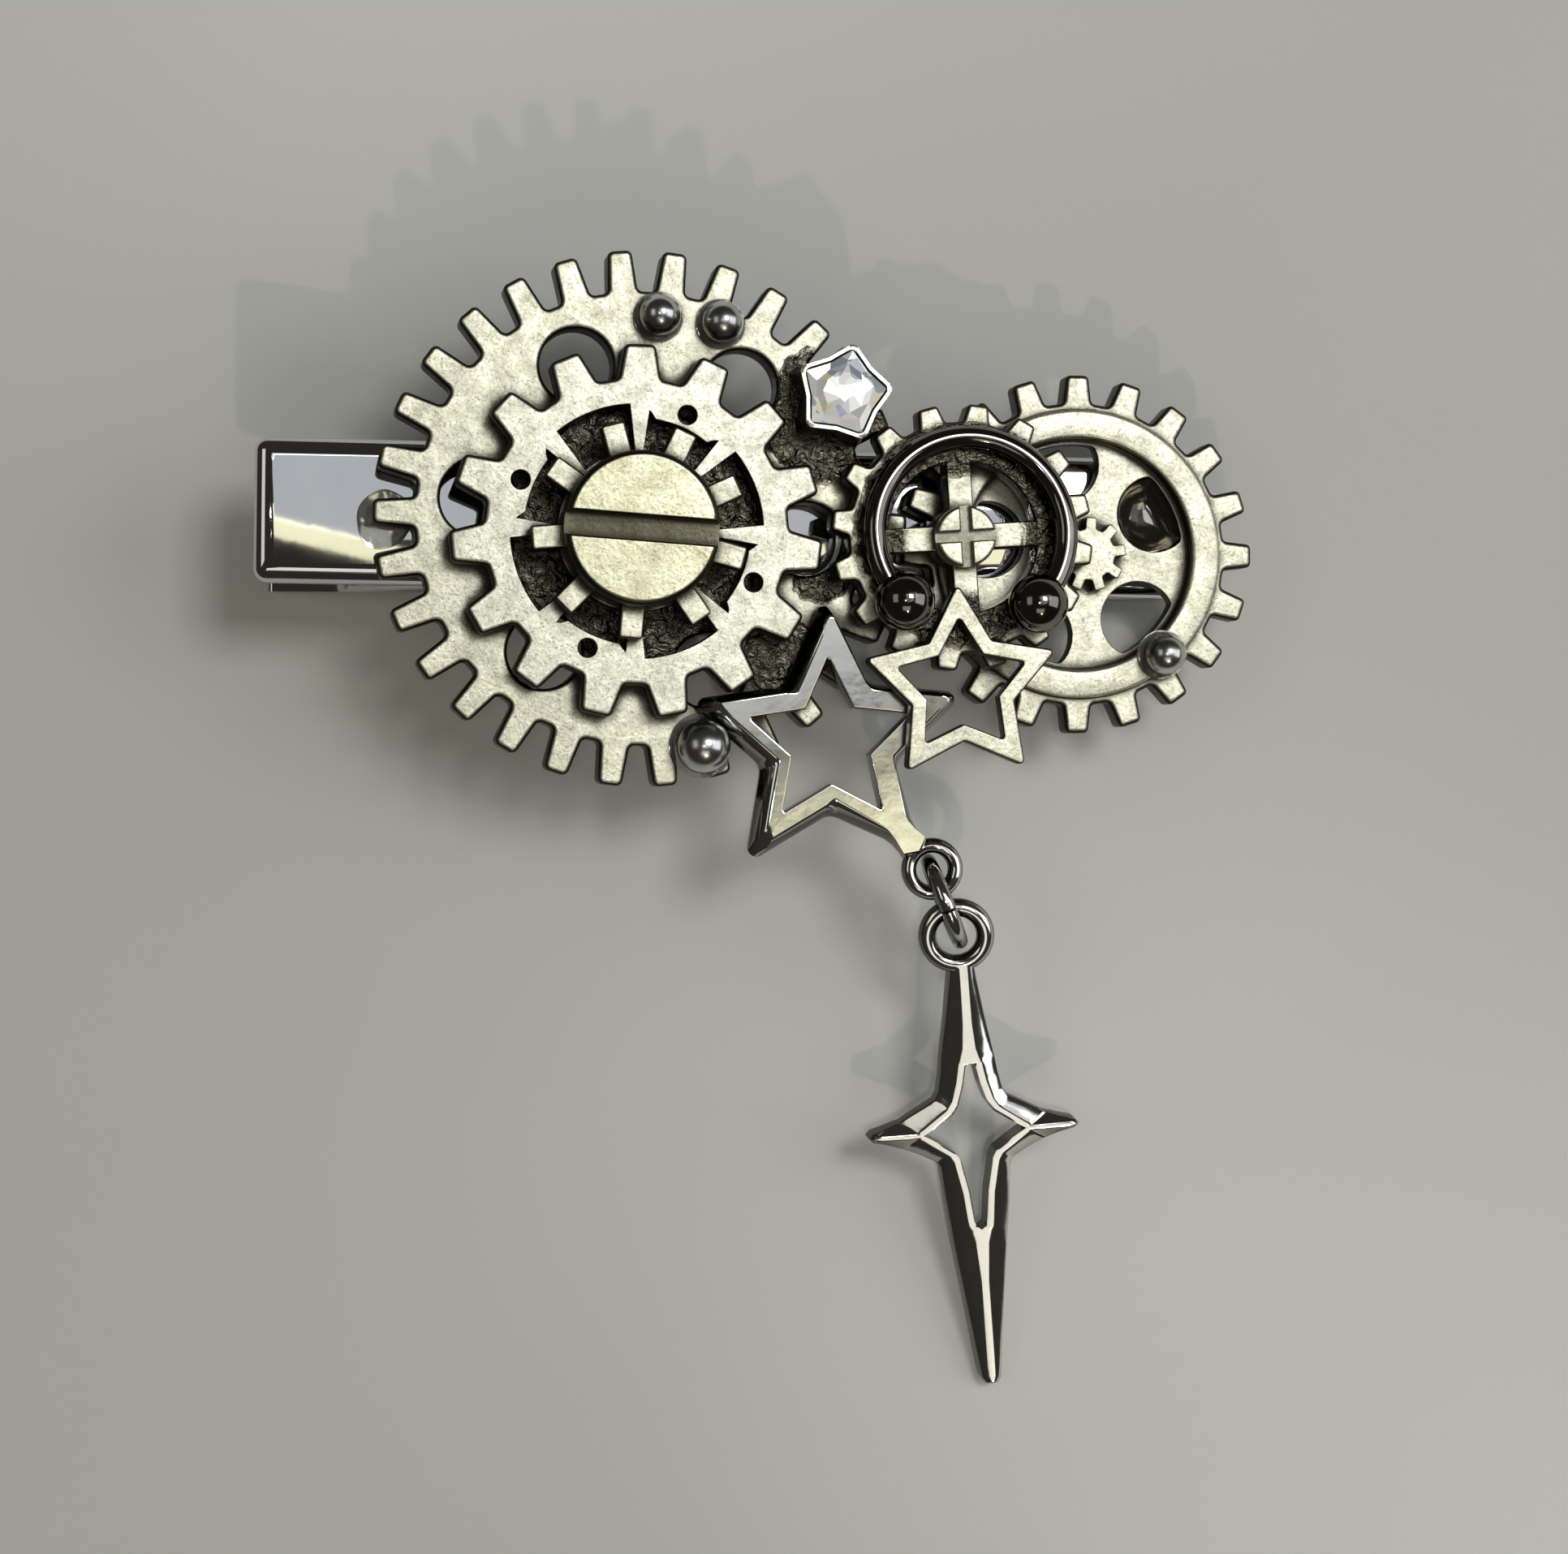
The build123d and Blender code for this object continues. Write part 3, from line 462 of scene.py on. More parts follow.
def cast(name, node, place, walls, material, slot="cast_metal", caps=None, sharp=38.0):
    """A casting. Each wall is a stack of closed rows with a height each, joined row to row. Each cap is the
    flat face between the rows named by (wall, row), found by filling their outlines: if none are given, one
    lies between the walls' feet and one between their tops. The attribute recess, which the metal paints dark
    as patina and as painted shade, goes from nought on a wall's top to one just below it, unless the wall
    gives it row by row."""
    points, starts, faces, recess, count = [], [], [], [], 0
    for outlines, heights, *darkness in walls:
        rows = stacked(outlines, heights)
        wall_points, wall_faces = joined(rows)
        level = rows[..., 2]
        deep = (level.max() - 0.002 - level) / 0.014
        if darkness:
            deep = np.reshape(darkness[0], (-1, 1)) + 0 * level
        points.append(wall_points)
        faces += (np.array(wall_faces) + count).tolist()
        recess.append(np.clip(deep, 0, 1).ravel())
        starts.append(count + np.arange(level.size).reshape(level.shape))
        count += level.size
    points = np.concatenate(points)
    for cap in caps or [[(wall, end) for wall in range(len(walls))] for end in (0, -1)]:
        loops = [starts[wall][row] for wall, row in cap]
        flat = [(points[loop] * (1, 1, 0)).tolist() for loop in loops]
        faces += np.concatenate(loops)[np.array(tessellate_polygon(flat))].tolist()
    points, recess = on_clip(points + (*place, 0)), np.concatenate(recess)
    make_piece(name, node, points, faces, material, slot, sharp=sharp, recess=recess)


def white_casting(name, bright=(0.83, 0.82, 0.67), dark=(0.66, 0.65, 0.52), patina_and_shade=0.96, pockets=()):
    """The gears' metal: warm white and finely pitted on top, nearly black in every recess, on walls and on
    rounded edges, as patina and as painted shade.
    """
    return metal(name, bright, dark, 0.38, 0.50, 5200.0, 1.3e-5, 1300.0, patina_and_shade, 0.5, pockets)


rim_place = (18.16, -0.23)
rim_low, rim_top = 0.1, 2.0
edge_round = 0.21
# dark, lumpy, glossy patches painted on the large gear: old glue by the star, by the side gear and below the
# cup, and painted shade with old glue under the second gear's windows
under_hub = ((17.9, -0.95, 2.0), 0.0, 5.95)
by_the_star, by_the_side_gear = ((25.0, -6.8, 2.0), 0.0, 1.9), ((26.7, -2.6, 2.0), 0.0, 1.4)
below_the_cup = ((27.0, 4.9, 2.0), 0.0, 3.2)
glue_and_shade = (under_hub, by_the_star, by_the_side_gear, below_the_cup)
rim_teeth = gear_outline(root=10.75, tip=12.7, teeth=30, phase=11.6, foot=1.42, face=1.14, corner=0.3)
rim_holes = [hole(spoke(7.85, 54.2 + 60 * k), 1.74) for k in range(6)]
rim_walls = [edge_wall(outline, rim_low, rim_top, edge_round) for outline in [rim_teeth, *rim_holes]]
rim_metal = white_casting("large_gear_metal", pockets=glue_and_shade)
cast("large_gear", "gear_rim", rim_place, rim_walls, rim_metal)

# The second gear.
# Fifteen broad teeth round a ring, a hub held by thin spokes between four curved windows, and four pin holes.
# It is cast in the same metal and glued flat on the large gear.
wheel_place = (17.75, -0.95)
wheel_low, wheel_top = 2.05, 3.65
wheel_hub, wheel_opening = 3.75, 5.3
window_middle, window_half, window_turn, window_reach = 4.9, 1.05, 22.3, 19.0
hub_spoke, ring_spoke = math.degrees(0.2 / wheel_hub), math.degrees(0.42 / wheel_opening)
wheel_teeth = gear_outline(root=7.2, tip=8.8, teeth=15, phase=17.7, foot=2.0, face=1.45, corner=0.28)
pin_holes = [hole(spoke(5.95, 67.4 + 90 * k), 0.45, 24) for k in range(4)]


def ring_windows():
    """The eight openings between ring and hub, one for each gap between the thin spokes: along the hub's
    circle one way and back along the ring's, which steps out where a curved window reaches past it. The
    window goes out by half its width, and by sqrt(half ** 2 - past ** 2) in the half round at each end."""
    openings = []
    square_degree = 0.0073
    for first in 44.5 + 45 * np.arange(8):
        last = first + 45
        turn = np.linspace(first, last, 40)
        from_window = np.abs((turn - window_turn + 45) % 90 - 45)
        into_end = np.clip(from_window - window_reach, 0, None)
        past = np.sqrt(np.clip(window_half**2 - into_end**2 * square_degree, 0, None))
        reach = np.maximum(wheel_opening, window_middle + past)
        keep = (turn > first + ring_spoke) & (turn < last - ring_spoke)
        inward = spoke(wheel_hub, np.linspace(first + hub_spoke, last - hub_spoke, 24))
        openings.append(np.concatenate([inward, spoke(reach[keep], turn[keep])[::-1]]))
    return openings


crisp_round = 0.05
wheel_walls = [edge_wall(wheel_teeth, wheel_low, wheel_top, edge_round)]
for outline in (*pin_holes, *ring_windows()):
    wheel_walls.append(edge_wall(outline, wheel_low, wheel_top, crisp_round, flat=0.015))
wheel_metal = white_casting("second_gear_metal", (0.85, 0.845, 0.72), (0.70, 0.69, 0.58))
cast("second_gear", "gear_wheel", wheel_place, wheel_walls, wheel_metal)

# The small gear and the slotted screw.
# A nine-tooth gear sits on the second gear's hub, and a slotted screw head on it. The screw is a thick disc
# with a rounded rim and one straight slot cut across it, and is washed with a thin brass colour.
pinion_teeth = gear_outline(root=3.5, tip=5.1, teeth=9, phase=25.5, foot=1.12, face=1.12, corner=0.15)
pinion_low, pinion_top = 3.7, 4.85
pinion_walls = [edge_wall(pinion_teeth, pinion_low, pinion_top, 0.12)]
gear_metal = white_casting("gear_metal")
cast("small_gear", "gear_pinion", wheel_place, pinion_walls, gear_metal)


def slotted_head(name, node, place, radius, levels, rounding, lands, material):
    """A screw head: a disc up to the slot's floor, and lands on it, whose outline each function gives for a
    distance in from the edge. A land goes straight up and over a quarter round. The lands stand back from the
    disc's wall by a hair, so that all their walls are apart. All but the lands' tops is painted dark, the
    slot's floor a little less, as patina and as painted shade in the slot."""
    low, floor, high = levels
    disc = hole(0, radius, 96)[::-1]
    foot = 0.08
    disc_rows = np.array([disc * (1 - foot / radius), disc, disc])
    turn = np.linspace(0, np.pi / 2, 7)
    inward = [0.01, *(0.01 + rounding * (1 - np.cos(turn))), rounding + 0.04]
    level = [floor, *(high - rounding * (1 - np.sin(turn))), high]
    walls = [(disc_rows, [low, low + foot, floor], [1, 1, 0.86])]
    walls += [(np.array([land(d) for d in inward]), level, [1] * 7 + [0] * 2) for land in lands]
    caps = [[(0, 0)], [(k, 0 if k else -1) for k in range(len(walls))]]
    caps += [[(k, -1)] for k in range(1, len(walls))]
    cast(name, node, place, walls, material, caps=caps)


def segment(radius, offset, turn, steps=40):
    """The part of a disc beyond a chord at the offset given."""
    half = math.acos(offset / radius)
    arc = radius * np.exp(1j * np.linspace(np.pi / 2 - half, np.pi / 2 + half, steps))
    return arc * np.exp(1j * math.radians(turn))


screw_radius, screw_levels, slot_half, slot_turn = 3.62, (4.9, 5.55, 6.25), 0.54, -3.3
brass, worn_brass = (0.69, 0.675, 0.50), (0.57, 0.54, 0.37)
brass_wash = metal("brass_washed_casting", brass, worn_brass, 0.30, 0.42, 4200.0, 1.2e-5, 800.0, 0.96, 0.5)
screw_lands = [lambda d, t=t: segment(screw_radius - d, slot_half + 0.4 * d, slot_turn + t) for t in (0, 180)]
screw_head = (screw_radius, screw_levels, 0.3, screw_lands, brass_wash)
slotted_head("slotted_screw", "slot_screw", wheel_place, *screw_head)

# The side gear and its cross screw.
# Sixteen teeth and four straight spokes, cast and glued beside the second gear, with a small cross-slotted
# screw head on its hub. A broad band of it under the horseshoe ring is painted dark, lumpy and glossy, as
# the ring's painted shade.
side_place, side_turn = (33.25, -0.9), 4.4
side_low, side_top = 2.05, 3.65
side_teeth = gear_outline(root=5.5, tip=6.35, teeth=16, phase=16.2, foot=1.3, face=0.95, corner=0.22)


def spoke_gap(middle, inner, outer, half_width, steps=14):
    """The opening between two straight spokes at right angles: out along one, round the rim, back along the
    other and round the hub, run clockwise."""
    inner_turn = math.degrees(math.asin(half_width / inner))
    outer_turn = math.degrees(math.asin(half_width / outer))
    hub = spoke(inner, np.linspace(middle - 45 + inner_turn, middle + 45 - inner_turn, steps))
    rim = spoke(outer, np.linspace(middle + 45 - outer_turn, middle - 45 + outer_turn, 2 * steps))
    return np.concatenate([hub, rim])


# the teeth's round is smaller than their own corners, so that no row folds over itself
side_round, gap_round = 0.18, 0.1
side_walls = [edge_wall(side_teeth, side_low, side_top, side_round)]
for k in range(4):
    gap = spoke_gap(side_turn + 45 + 90 * k, inner=1.5, outer=3.6, half_width=0.6)
    side_walls.append(edge_wall(gap, side_low, side_top, gap_round))
# painted shade: the band under the horseshoe ring is painted dark, lumpy and glossy
under_horseshoe = ((side_place[0] + 0.1, side_place[1] + 0.1, side_top), 2.9, 5.25)
side_metal = white_casting("side_gear_metal", pockets=(under_horseshoe,))
cast("side_gear", "gear_side", side_place, side_walls, side_metal)


def quarter_land(radius, half_slot, turn, steps=14):
    """One quarter of a cross-slotted head: a corner between two slots closed by the disc's arc."""
    small = math.asin(half_slot / radius)
    arc = radius * np.exp(1j * np.linspace(small, np.pi / 2 - small, steps))
    return np.append(arc, half_slot * (1 + 1j)) * np.exp(1j * math.radians(turn))


cross_radius, cross_levels, cross_half = 1.45, (3.7, 4.2, 4.6), 0.23
cross_metal = white_casting("cross_screw_metal", patina_and_shade=0.55)
land_turns = side_turn + 90 * np.arange(4)
cross_lands = [lambda d, t=t: quarter_land(cross_radius - d, cross_half + 0.6 * d, t) for t in land_turns]
cross_head = (cross_radius, cross_levels, 0.16, cross_lands, cross_metal)
slotted_head("cross_slotted_screw", "cross_screw", side_place, *cross_head)

# The right gear.
# Twenty teeth, a raised ring, and a sunk web with five round windows that the ring cuts off. It is one
# casting, glued on the strip's nose, with a tiny nine-tooth gear on its web.
right_place = (39.3, -1.45)
right_low, right_teeth_top, right_ring_top, web_top = 0.1, 1.6, 2.0, 1.1
ring_outer, ring_inner, ring_round = 6.96, 5.58, 0.2
window_circle, first_window = 4.4, 27.7
right_teeth = gear_outline(root=7.3, tip=8.65, teeth=20, phase=0.6, foot=1.4, face=1.1, corner=0.25)


def clipped_window(angle, radius, limit, steps=40):
    """A round window that ends at the circle of the limit radius, run clockwise."""
    points = hole(spoke(window_circle, angle), radius, steps)
    return points * np.minimum(1, limit / abs(points))


# the ring: up from the teeth, over two quarter rounds and down to the web
circle = np.exp(2j * np.pi * np.arange(144) / 144)
quarter = np.linspace(0, np.pi / 2, 6)
rise, bend_in = ring_round * (1 - np.sin(quarter)), ring_round * (1 - np.cos(quarter))
ring_radii = [ring_outer + 0.06, ring_outer + 0.04, ring_outer, *(ring_outer - bend_in), *(ring_inner + rise)]
ring_radii += [ring_inner, ring_inner - 0.11, ring_inner - 0.14]
ring_levels = [*[right_teeth_top] * 3, *(right_ring_top - rise), *(right_ring_top - bend_in)]
ring_levels += [web_top + 0.05, web_top, web_top]
# how dark each ring row is painted: the ring's outer foot and its walls down to the web dark, as patina and as
# painted shade, its rounded top bright
ring_dark = [0.2, 1.0, 1.0, 1.0, 0.8, 0.2, *[0.0] * 6, 0.2, 0.8, 1.0, 1.0, 1.0, 0.1]
right_walls = [
    edge_wall(right_teeth, right_low, right_teeth_top, 0.22),
    (np.outer(ring_radii, circle), ring_levels, ring_dark),
]
for k in range(5):
    window = clipped_window(first_window + 72 * k, 1.83, 5.32)
    right_walls.append(edge_wall(window, right_low, web_top, 0.06, flat=0.02))
windows = range(2, 7)
right_caps = [[(0, 0), *((k, 0) for k in windows)], [(0, -1), (1, 0)], [(1, -1), *((k, -1) for k in windows)]]
cast("right_gear", "gear_right", right_place, right_walls, gear_metal, caps=right_caps)

tiny_place = (right_place[0] + 0.51, right_place[1] - 0.02)
tiny_teeth = gear_outline(root=1.25, tip=1.8, teeth=9, phase=8.0, foot=0.55, face=0.55, corner=0.1)
tiny_walls = [edge_wall(tiny_teeth, web_top + 0.05, web_top + 0.9, 0.07)]
cast("tiny_gear", "right_pinion", tiny_place, tiny_walls, gear_metal)

# The star cup and its stone.
# A flared star-shaped cup of polished metal with a thin bright rim holds a clear faceted star stone, foiled
# behind. The cup's flare is painted dark, as painted shade and dark reflection. The stone is painted in
# patches of white, blue, yellow and near black: the white and dark ones are painted reflections, the blue and
# yellow its tint. The cup is glued on the edge of the large gear.


def star(tip, notch, phase, tip_round, notch_round, steps=7):
    """A five-pointed star, anticlockwise, with its points and notches rounded by the radii given."""
    odd = np.arange(10) % 2
    corners = spoke(np.where(odd, notch, tip), phase + 36 * np.arange(10))
    return rounded(corners, np.where(odd, notch_round, tip_round), steps)


cup_place, cup_phase = (27.33, 5.71), 78.7
cup_low, cup_pocket = 2.05, 3.28


def cup_star(size, plump):
    """The cup's star at one height: its notches are at the share plump of its points."""
    return star(size, plump * size, cup_phase, 0.15 * size, 0.10 * size)


# the flare, the rim's outer edge, its top, and the wall down to the pocket
flare = np.linspace(0, 1, 9)
cup_sizes = [2.70, 2.75, *(2.44 + 0.31 * (1 - flare) ** 2.2), 2.44, 2.43, 2.40, 2.20, 2.15, 2.13, 2.0]
cup_plump = [0.62, 0.62, *(0.62 + 0.12 * flare**0.7), *[0.745] * 7]
cup_levels = [cup_low, cup_low + 0.06, *(cup_low + 0.12 + 2.12 * flare)]
cup_levels += [4.38, 4.43, 4.45, 4.45, 4.41, 4.30, cup_pocket]
# how dark each row is painted: the flare dark all the way up, as painted shade and dark reflection, the rim
# bright, the pocket wall part dark as painted shade
cup_dark = [1.0] * 11 + [0.0] * 6 + [0.6]
cup_rows = np.array([cup_star(*row) for row in zip(cup_sizes, cup_plump)])
cup_bright, cup_grey = (0.95, 0.94, 0.89), (0.86, 0.85, 0.79)
cup_metal = metal("polished_casting", cup_bright, cup_grey, 0.24, 0.32, 900.0, 6e-6, 500.0, patina_and_shade=0.97)
cup_walls = [(cup_rows, cup_levels, cup_dark)]
cast("star_cup", "star_setting", cup_place, cup_walls, cup_metal, "polished_metal")

# six rows of ten corners: points and notches at the radii given, each row turned a little, two of them uneven
corner = np.arange(10)
stone_tips, stone_turns = (1.75, 2.05, 2.05, 1.42, 0.98, 0.34), (0, 0, 0, 7, -9, 12)
stone_notches = (1.30, 0.745 * 2.05, 0.745 * 2.05, 1.26, 1.02, 0.46)
stone_rows = [
    spoke(np.where(corner % 2, notch, tip), cup_phase + turn + 36 * corner)
    for tip, notch, turn in zip(stone_tips, stone_notches, stone_turns)
]
stone_levels = np.array([3.32, 4.1, 4.36, 4.43, 4.52, 4.55])[:, None] + np.zeros(10)
stone_levels[3] += 0.07 * np.cos(2.4 * corner)
stone_levels[4] += 0.08 * np.cos(1.7 * corner + 1)

# foiled crystal is half mirror, and each patch of it is painted by a cell noise: white and near black as
# painted reflections, blue and yellow as its tint
foil_gloss = {"Roughness": 0.36, "Metallic": 0.35, "Coat Weight": 1.0, "Coat Roughness": 0.03}
foil = Finish("foiled_stone", foil_gloss)
cell = foil.add("TexVoronoi", "Color", {"Vector": foil.where, "Scale": 1350.0})
foil_tint_and_reflections = foil.ramp(
    foil.add("SeparateColor", "Red", {"Color": cell}),
    (0.0, (0.97, 0.97, 0.98)),
    (0.30, (0.46, 0.49, 0.58)),
    (0.44, (0.98, 0.95, 0.70)),
    (0.56, (0.60, 0.67, 0.92)),
    (0.68, (0.99, 0.99, 0.99)),
    (0.86, (0.14, 0.12, 0.13)),
    (0.92, (0.60, 0.58, 0.52)),
    interpolation="CONSTANT",
)
foil.feed(foil.shader, {"Base Color": foil_tint_and_reflections})
stone_walls = [(np.array(stone_rows), stone_levels)]
cast("faceted_stone", "star_stone", cup_place, stone_walls, foil.material, "clear_stone", sharp=1.0)

# The open star with a loop.
# A polished cast star with a star-shaped hole. Its top slopes away to its outer edge in a broad round and is
# sharp at the hole. Its lower right point runs on as a neck to a loop for the jump ring, cast in one with it.


def star_body(outer, opening, low, slope_low, top, slope_share):
    """A star between an outer outline and an opening with as many points. Each row lies a share of the way
    from the one to the other: up the outer wall, over a slope that takes up a share of its own at each point
    and starts steep and levels out, across the flat top, and down the sharp wall of the opening."""
    part = np.linspace(0, 1, 9)[1:]
    shares = [0.08, 0.0, 0.0, *(slope_share * p for p in part), slope_share + 0.02]
    shares += [0.92, 0.945, 0.965, 0.99, 1.0, 1.0, 0.96]
    levels = [low, low + 0.1, slope_low, *(slope_low + (top - slope_low) * (1 - (1 - part) ** 1.8))]
    levels += [top, top, top, top - 0.004, top - 0.03, top - 0.1, low + 0.08, low]
    share = np.array([share + 0 * slope_share for share in shares])
    return stacked(outer * (1 - share) + opening * share, levels)


def bent_wire(centre, first, second, radius, thick, wide, start=0.0, end=360.0, steps=64, around=20):
    """Rows of points round a wire that is bent about a centre in the plane of two unit directions: at each
    turn the section is an ellipse, wide in the plane and thick across it."""
    first, second = np.asarray(first, float), np.asarray(second, float)
    turn = np.radians(np.linspace(start, end, steps, endpoint=end - start < 360))[:, None]
    around_turn = np.linspace(0, 2 * np.pi, around, endpoint=False)[None, :]
    reach = radius + wide * np.cos(around_turn)
    ring = (reach * np.cos(turn))[..., None] * first + (reach * np.sin(turn))[..., None] * second
    across = (thick * np.sin(around_turn) + 0 * turn)[..., None] * np.cross(first, second)
    return np.asarray(centre) + ring + across


def solder(name, *bodies):
    """One closed solid from several that overlap, each given as points in metres and faces: they are joined
    at a thousand times their size by an exact union. Returns the solid's points and faces."""
    parts = []
    for points, faces in bodies:
        mesh = bpy.data.meshes.new(name)
        mesh.from_pydata((points * 1000).tolist(), [], faces)
        clean(mesh, 2e-4, slivers=False)
        parts.append(put(name, mesh))
    for other in parts[1:]:
        join = parts[0].modifiers.new("join", "BOOLEAN")
        join.operation = "UNION"
        join.solver = "EXACT"
        join.object = other
    bpy.context.view_layer.update()
    solid = bpy.data.meshes.new_from_object(parts[0].evaluated_get(bpy.context.evaluated_depsgraph_get()))
    points = np.empty(3 * len(solid.vertices), np.float32)
    solid.vertices.foreach_get("co", points)
    faces = [list(face.vertices) for face in solid.polygons]
    for part in parts:
        bpy.data.objects.remove(part)
    bpy.data.meshes.remove(solid)
    return points.reshape(-1, 3).astype(float) / 1000, faces


charm_middle, charm_phase, corner_steps = 27.06 - 10.70j, 92.3, 9
charm_low, charm_edge, charm_top = 2.05, 2.50, 3.40
charm_outer = star(7.05, 3.40, charm_phase, 0.42, 0.8, corner_steps)
charm_opening = star(4.05, 1.96, charm_phase, 0.10, 0.12, corner_steps)

# polished away more where its outline faces the near left, so the slope is broad there
near_left = np.exp(1j * math.radians(215))
charm_side = np.roll(charm_outer, 1) - np.roll(charm_outer, -1)
charm_slope = 0.40 + 0.22 * (1j * charm_side / abs(charm_side) / near_left).real

# the neck, in place of the lower right point's own corner, which is the seventh of ten
to_loop = 5.05 - 5.96j
neck = slice(6 * corner_steps, 7 * corner_steps)
neck_half = np.array([5.3 - 0.81j, 5.75 - 0.70j, 6.25 - 0.68j, 6.75 - 0.74j])
neck_edge = np.array([*neck_half, 6.95, *neck_half[::-1].conj()])
charm_outer[neck] = to_loop / abs(to_loop) * neck_edge
charm_slope[neck] = (0.42, 0.38, 0.28, 0.16, 0.10, 0.14, 0.22, 0.28, 0.30)

loop_middle = charm_middle + to_loop
loop_place = (loop_middle.real, loop_middle.imag, (charm_low + charm_top) / 2)
flat_plane = ((1, 0, 0), (0, 1, 0))
charm_outer, charm_opening = charm_outer + charm_middle, charm_opening + charm_middle
charm_rows = star_body(charm_outer, charm_opening, charm_low, charm_edge, charm_top, charm_slope)
loop_rows = bent_wire(loop_place, *flat_plane, radius=1.13, thick=0.5, wide=0.36, steps=56)
charm_solid = solder("open_star", joined(on_clip(charm_rows), "ring"), joined(on_clip(loop_rows), "ring"))
# steep sides of the open star, the jump ring and the pendant are painted dark, as painted shade and dark
# reflection
polished_star = metal(
    "polished_star_metal", (0.84, 0.83, 0.80), (0.74, 0.73, 0.69), 0.07, 0.14, 700.0, 7e-6, 400.0, sides=0.9
)
make_piece("open_star", "star_charm", *charm_solid, polished_star, "polished_metal", sharp=24.0)

# The flat open star.
# A thin flat casting with crisp corners, glued over the side gear and the tip of the polished star.
flat_place, flat_phase = (side_place[0] - 0.15, side_place[1] - 7.08), 93.5
flat_low, flat_top = 3.7, 4.7
flat_outer = star(4.86, 2.6, flat_phase, 0.2, 0.2)
flat_opening = star(3.25, 1.8, flat_phase, 0.12, 0.12)[::-1]
flat_walls = [edge_wall(flat_outer, flat_low, flat_top, 0.12)]
flat_walls.append(edge_wall(flat_opening, flat_low, flat_top, 0.08, flat=0.02))
cast("flat_star", "star_flat", flat_place, flat_walls, gear_metal)

# The horseshoe ring.
# A dark polished wire bent to an open ring, with a ball pressed on each end. It leans on its balls and on the
# far side of its own wire, over the side gear.
dark_polish = metal("dark_polish", (0.23, 0.22, 0.20), (0.16, 0.15, 0.135), 0.07, 0.12, 800.0, 3e-6, 500.0)
ring_radius, ring_wire, ball_radius = 4.6, 0.53, 1.42
ring_rest, ball_turn = 3.70, math.radians(46.0)
ring_lean = math.asin((ball_radius - ring_wire) / (ring_radius * (1 + math.sin(ball_turn))))
ring_middle = np.array([side_place[0] + 0.17, side_place[1] + 0.15, ring_rest + ring_wire])
ring_middle[2] += ring_radius * math.sin(ring_lean)
ring_east = np.array((1.0, 0.0, 0.0))
ring_north = np.array((0.0, math.cos(ring_lean), -math.sin(ring_lean)))
ring_rows = bent_wire(
    ring_middle, ring_east, ring_north, ring_radius, ring_wire, ring_wire, -39.0, 219.0, steps=120, around=28
)
ring_shape = joined(on_clip(ring_rows), "flat")
make_piece("horseshoe_wire", "horseshoe_ring", *ring_shape, dark_polish, "dark_steel")


def ball(name, node, centre, radius, polish, skirt=None, steps=48, rows=26):
    """A polished ball: circles of radius r sin(turn) at heights r cos(turn), from the top down. At its foot
    the ball may sink into a skirt of clear glue, which curves out to a fifth more than the ball's radius."""
    turn = np.linspace(0, np.pi * (0.70 if skirt else 1.0), rows)
    reach, level = radius * np.sin(turn), radius * np.cos(turn)
    if skirt:
        spread = np.linspace(0, 1, 6)[1:]
        edge_reach, edge_level = reach[-1], level[-1]
        out = edge_reach + (1.22 * radius - edge_reach) * spread**1.6
        down = edge_level - (radius + edge_level) * (1 - (1 - spread) ** 2.2)
        reach, level = np.append(reach, [*out, 0.0]), np.append(level, [*down, -radius])
    outlines = np.outer(reach, np.exp(2j * np.pi * np.arange(steps) / steps))
    shape = joined(on_clip(stacked(outlines, level) + centre))
    glued = np.repeat(np.arange(len(reach) - 1) >= rows - 1, steps)
    piece = make_piece(name, node, *shape, polish, "dark_steel", finish=glued)
    if skirt:
        piece.data.materials.append(skirt)


reach, drop = ring_radius * math.cos(ball_turn), ring_radius * math.sin(ball_turn)
for side, name in ((-1, "left"), (1, "right")):
    middle = ring_middle + side * reach * ring_east - drop * ring_north
    ball(f"{name}_ring_ball", f"horseshoe_ball_{name}", middle, ball_radius, dark_polish)

# The loose balls.
# Four polished balls stand on the gears, each in a little skirt of clear glue that was pressed out under it.


def glue(name, deep, pale):
    """Set glue: glassy, tinted between two colours, with a bumpy skin."""
    skin = Finish(name, {"Roughness": 0.08, "IOR": 1.48, "Transmission Weight": 0.92})
    lumps = skin.noise(900.0)
    return skin.cover(skin.ramp(lumps, (0.0, deep), (1.0, pale)), lumps, 0.6, 0.00008)


clear_glue = glue("clear_glue", (0.90, 0.88, 0.80), (0.99, 0.98, 0.94))
grey_polish = metal("grey_polish", (0.62, 0.62, 0.61), (0.46, 0.46, 0.46), 0.20, 0.28, 900.0, 6e-6, 600.0)
small_ball, large_ball, glue_film = 0.97, 1.25, 0.05
for name, place, shift, radius, rests_on in (
    ("bead_1", rim_place, (0.61, 9.53), small_ball, rim_top),
    ("bead_2", rim_place, (3.58, 9.28), small_ball, rim_top),
    ("bead_3", right_place, (4.08, -4.8), small_ball, right_ring_top),
    ("bead_4", rim_place, (2.89, -10.72), large_ball, rim_top),
):
    middle = (place[0] + shift[0], place[1] + shift[1], rests_on + glue_film + radius)
    ball(name + "_ball", name, middle, radius, grey_polish, clear_glue)

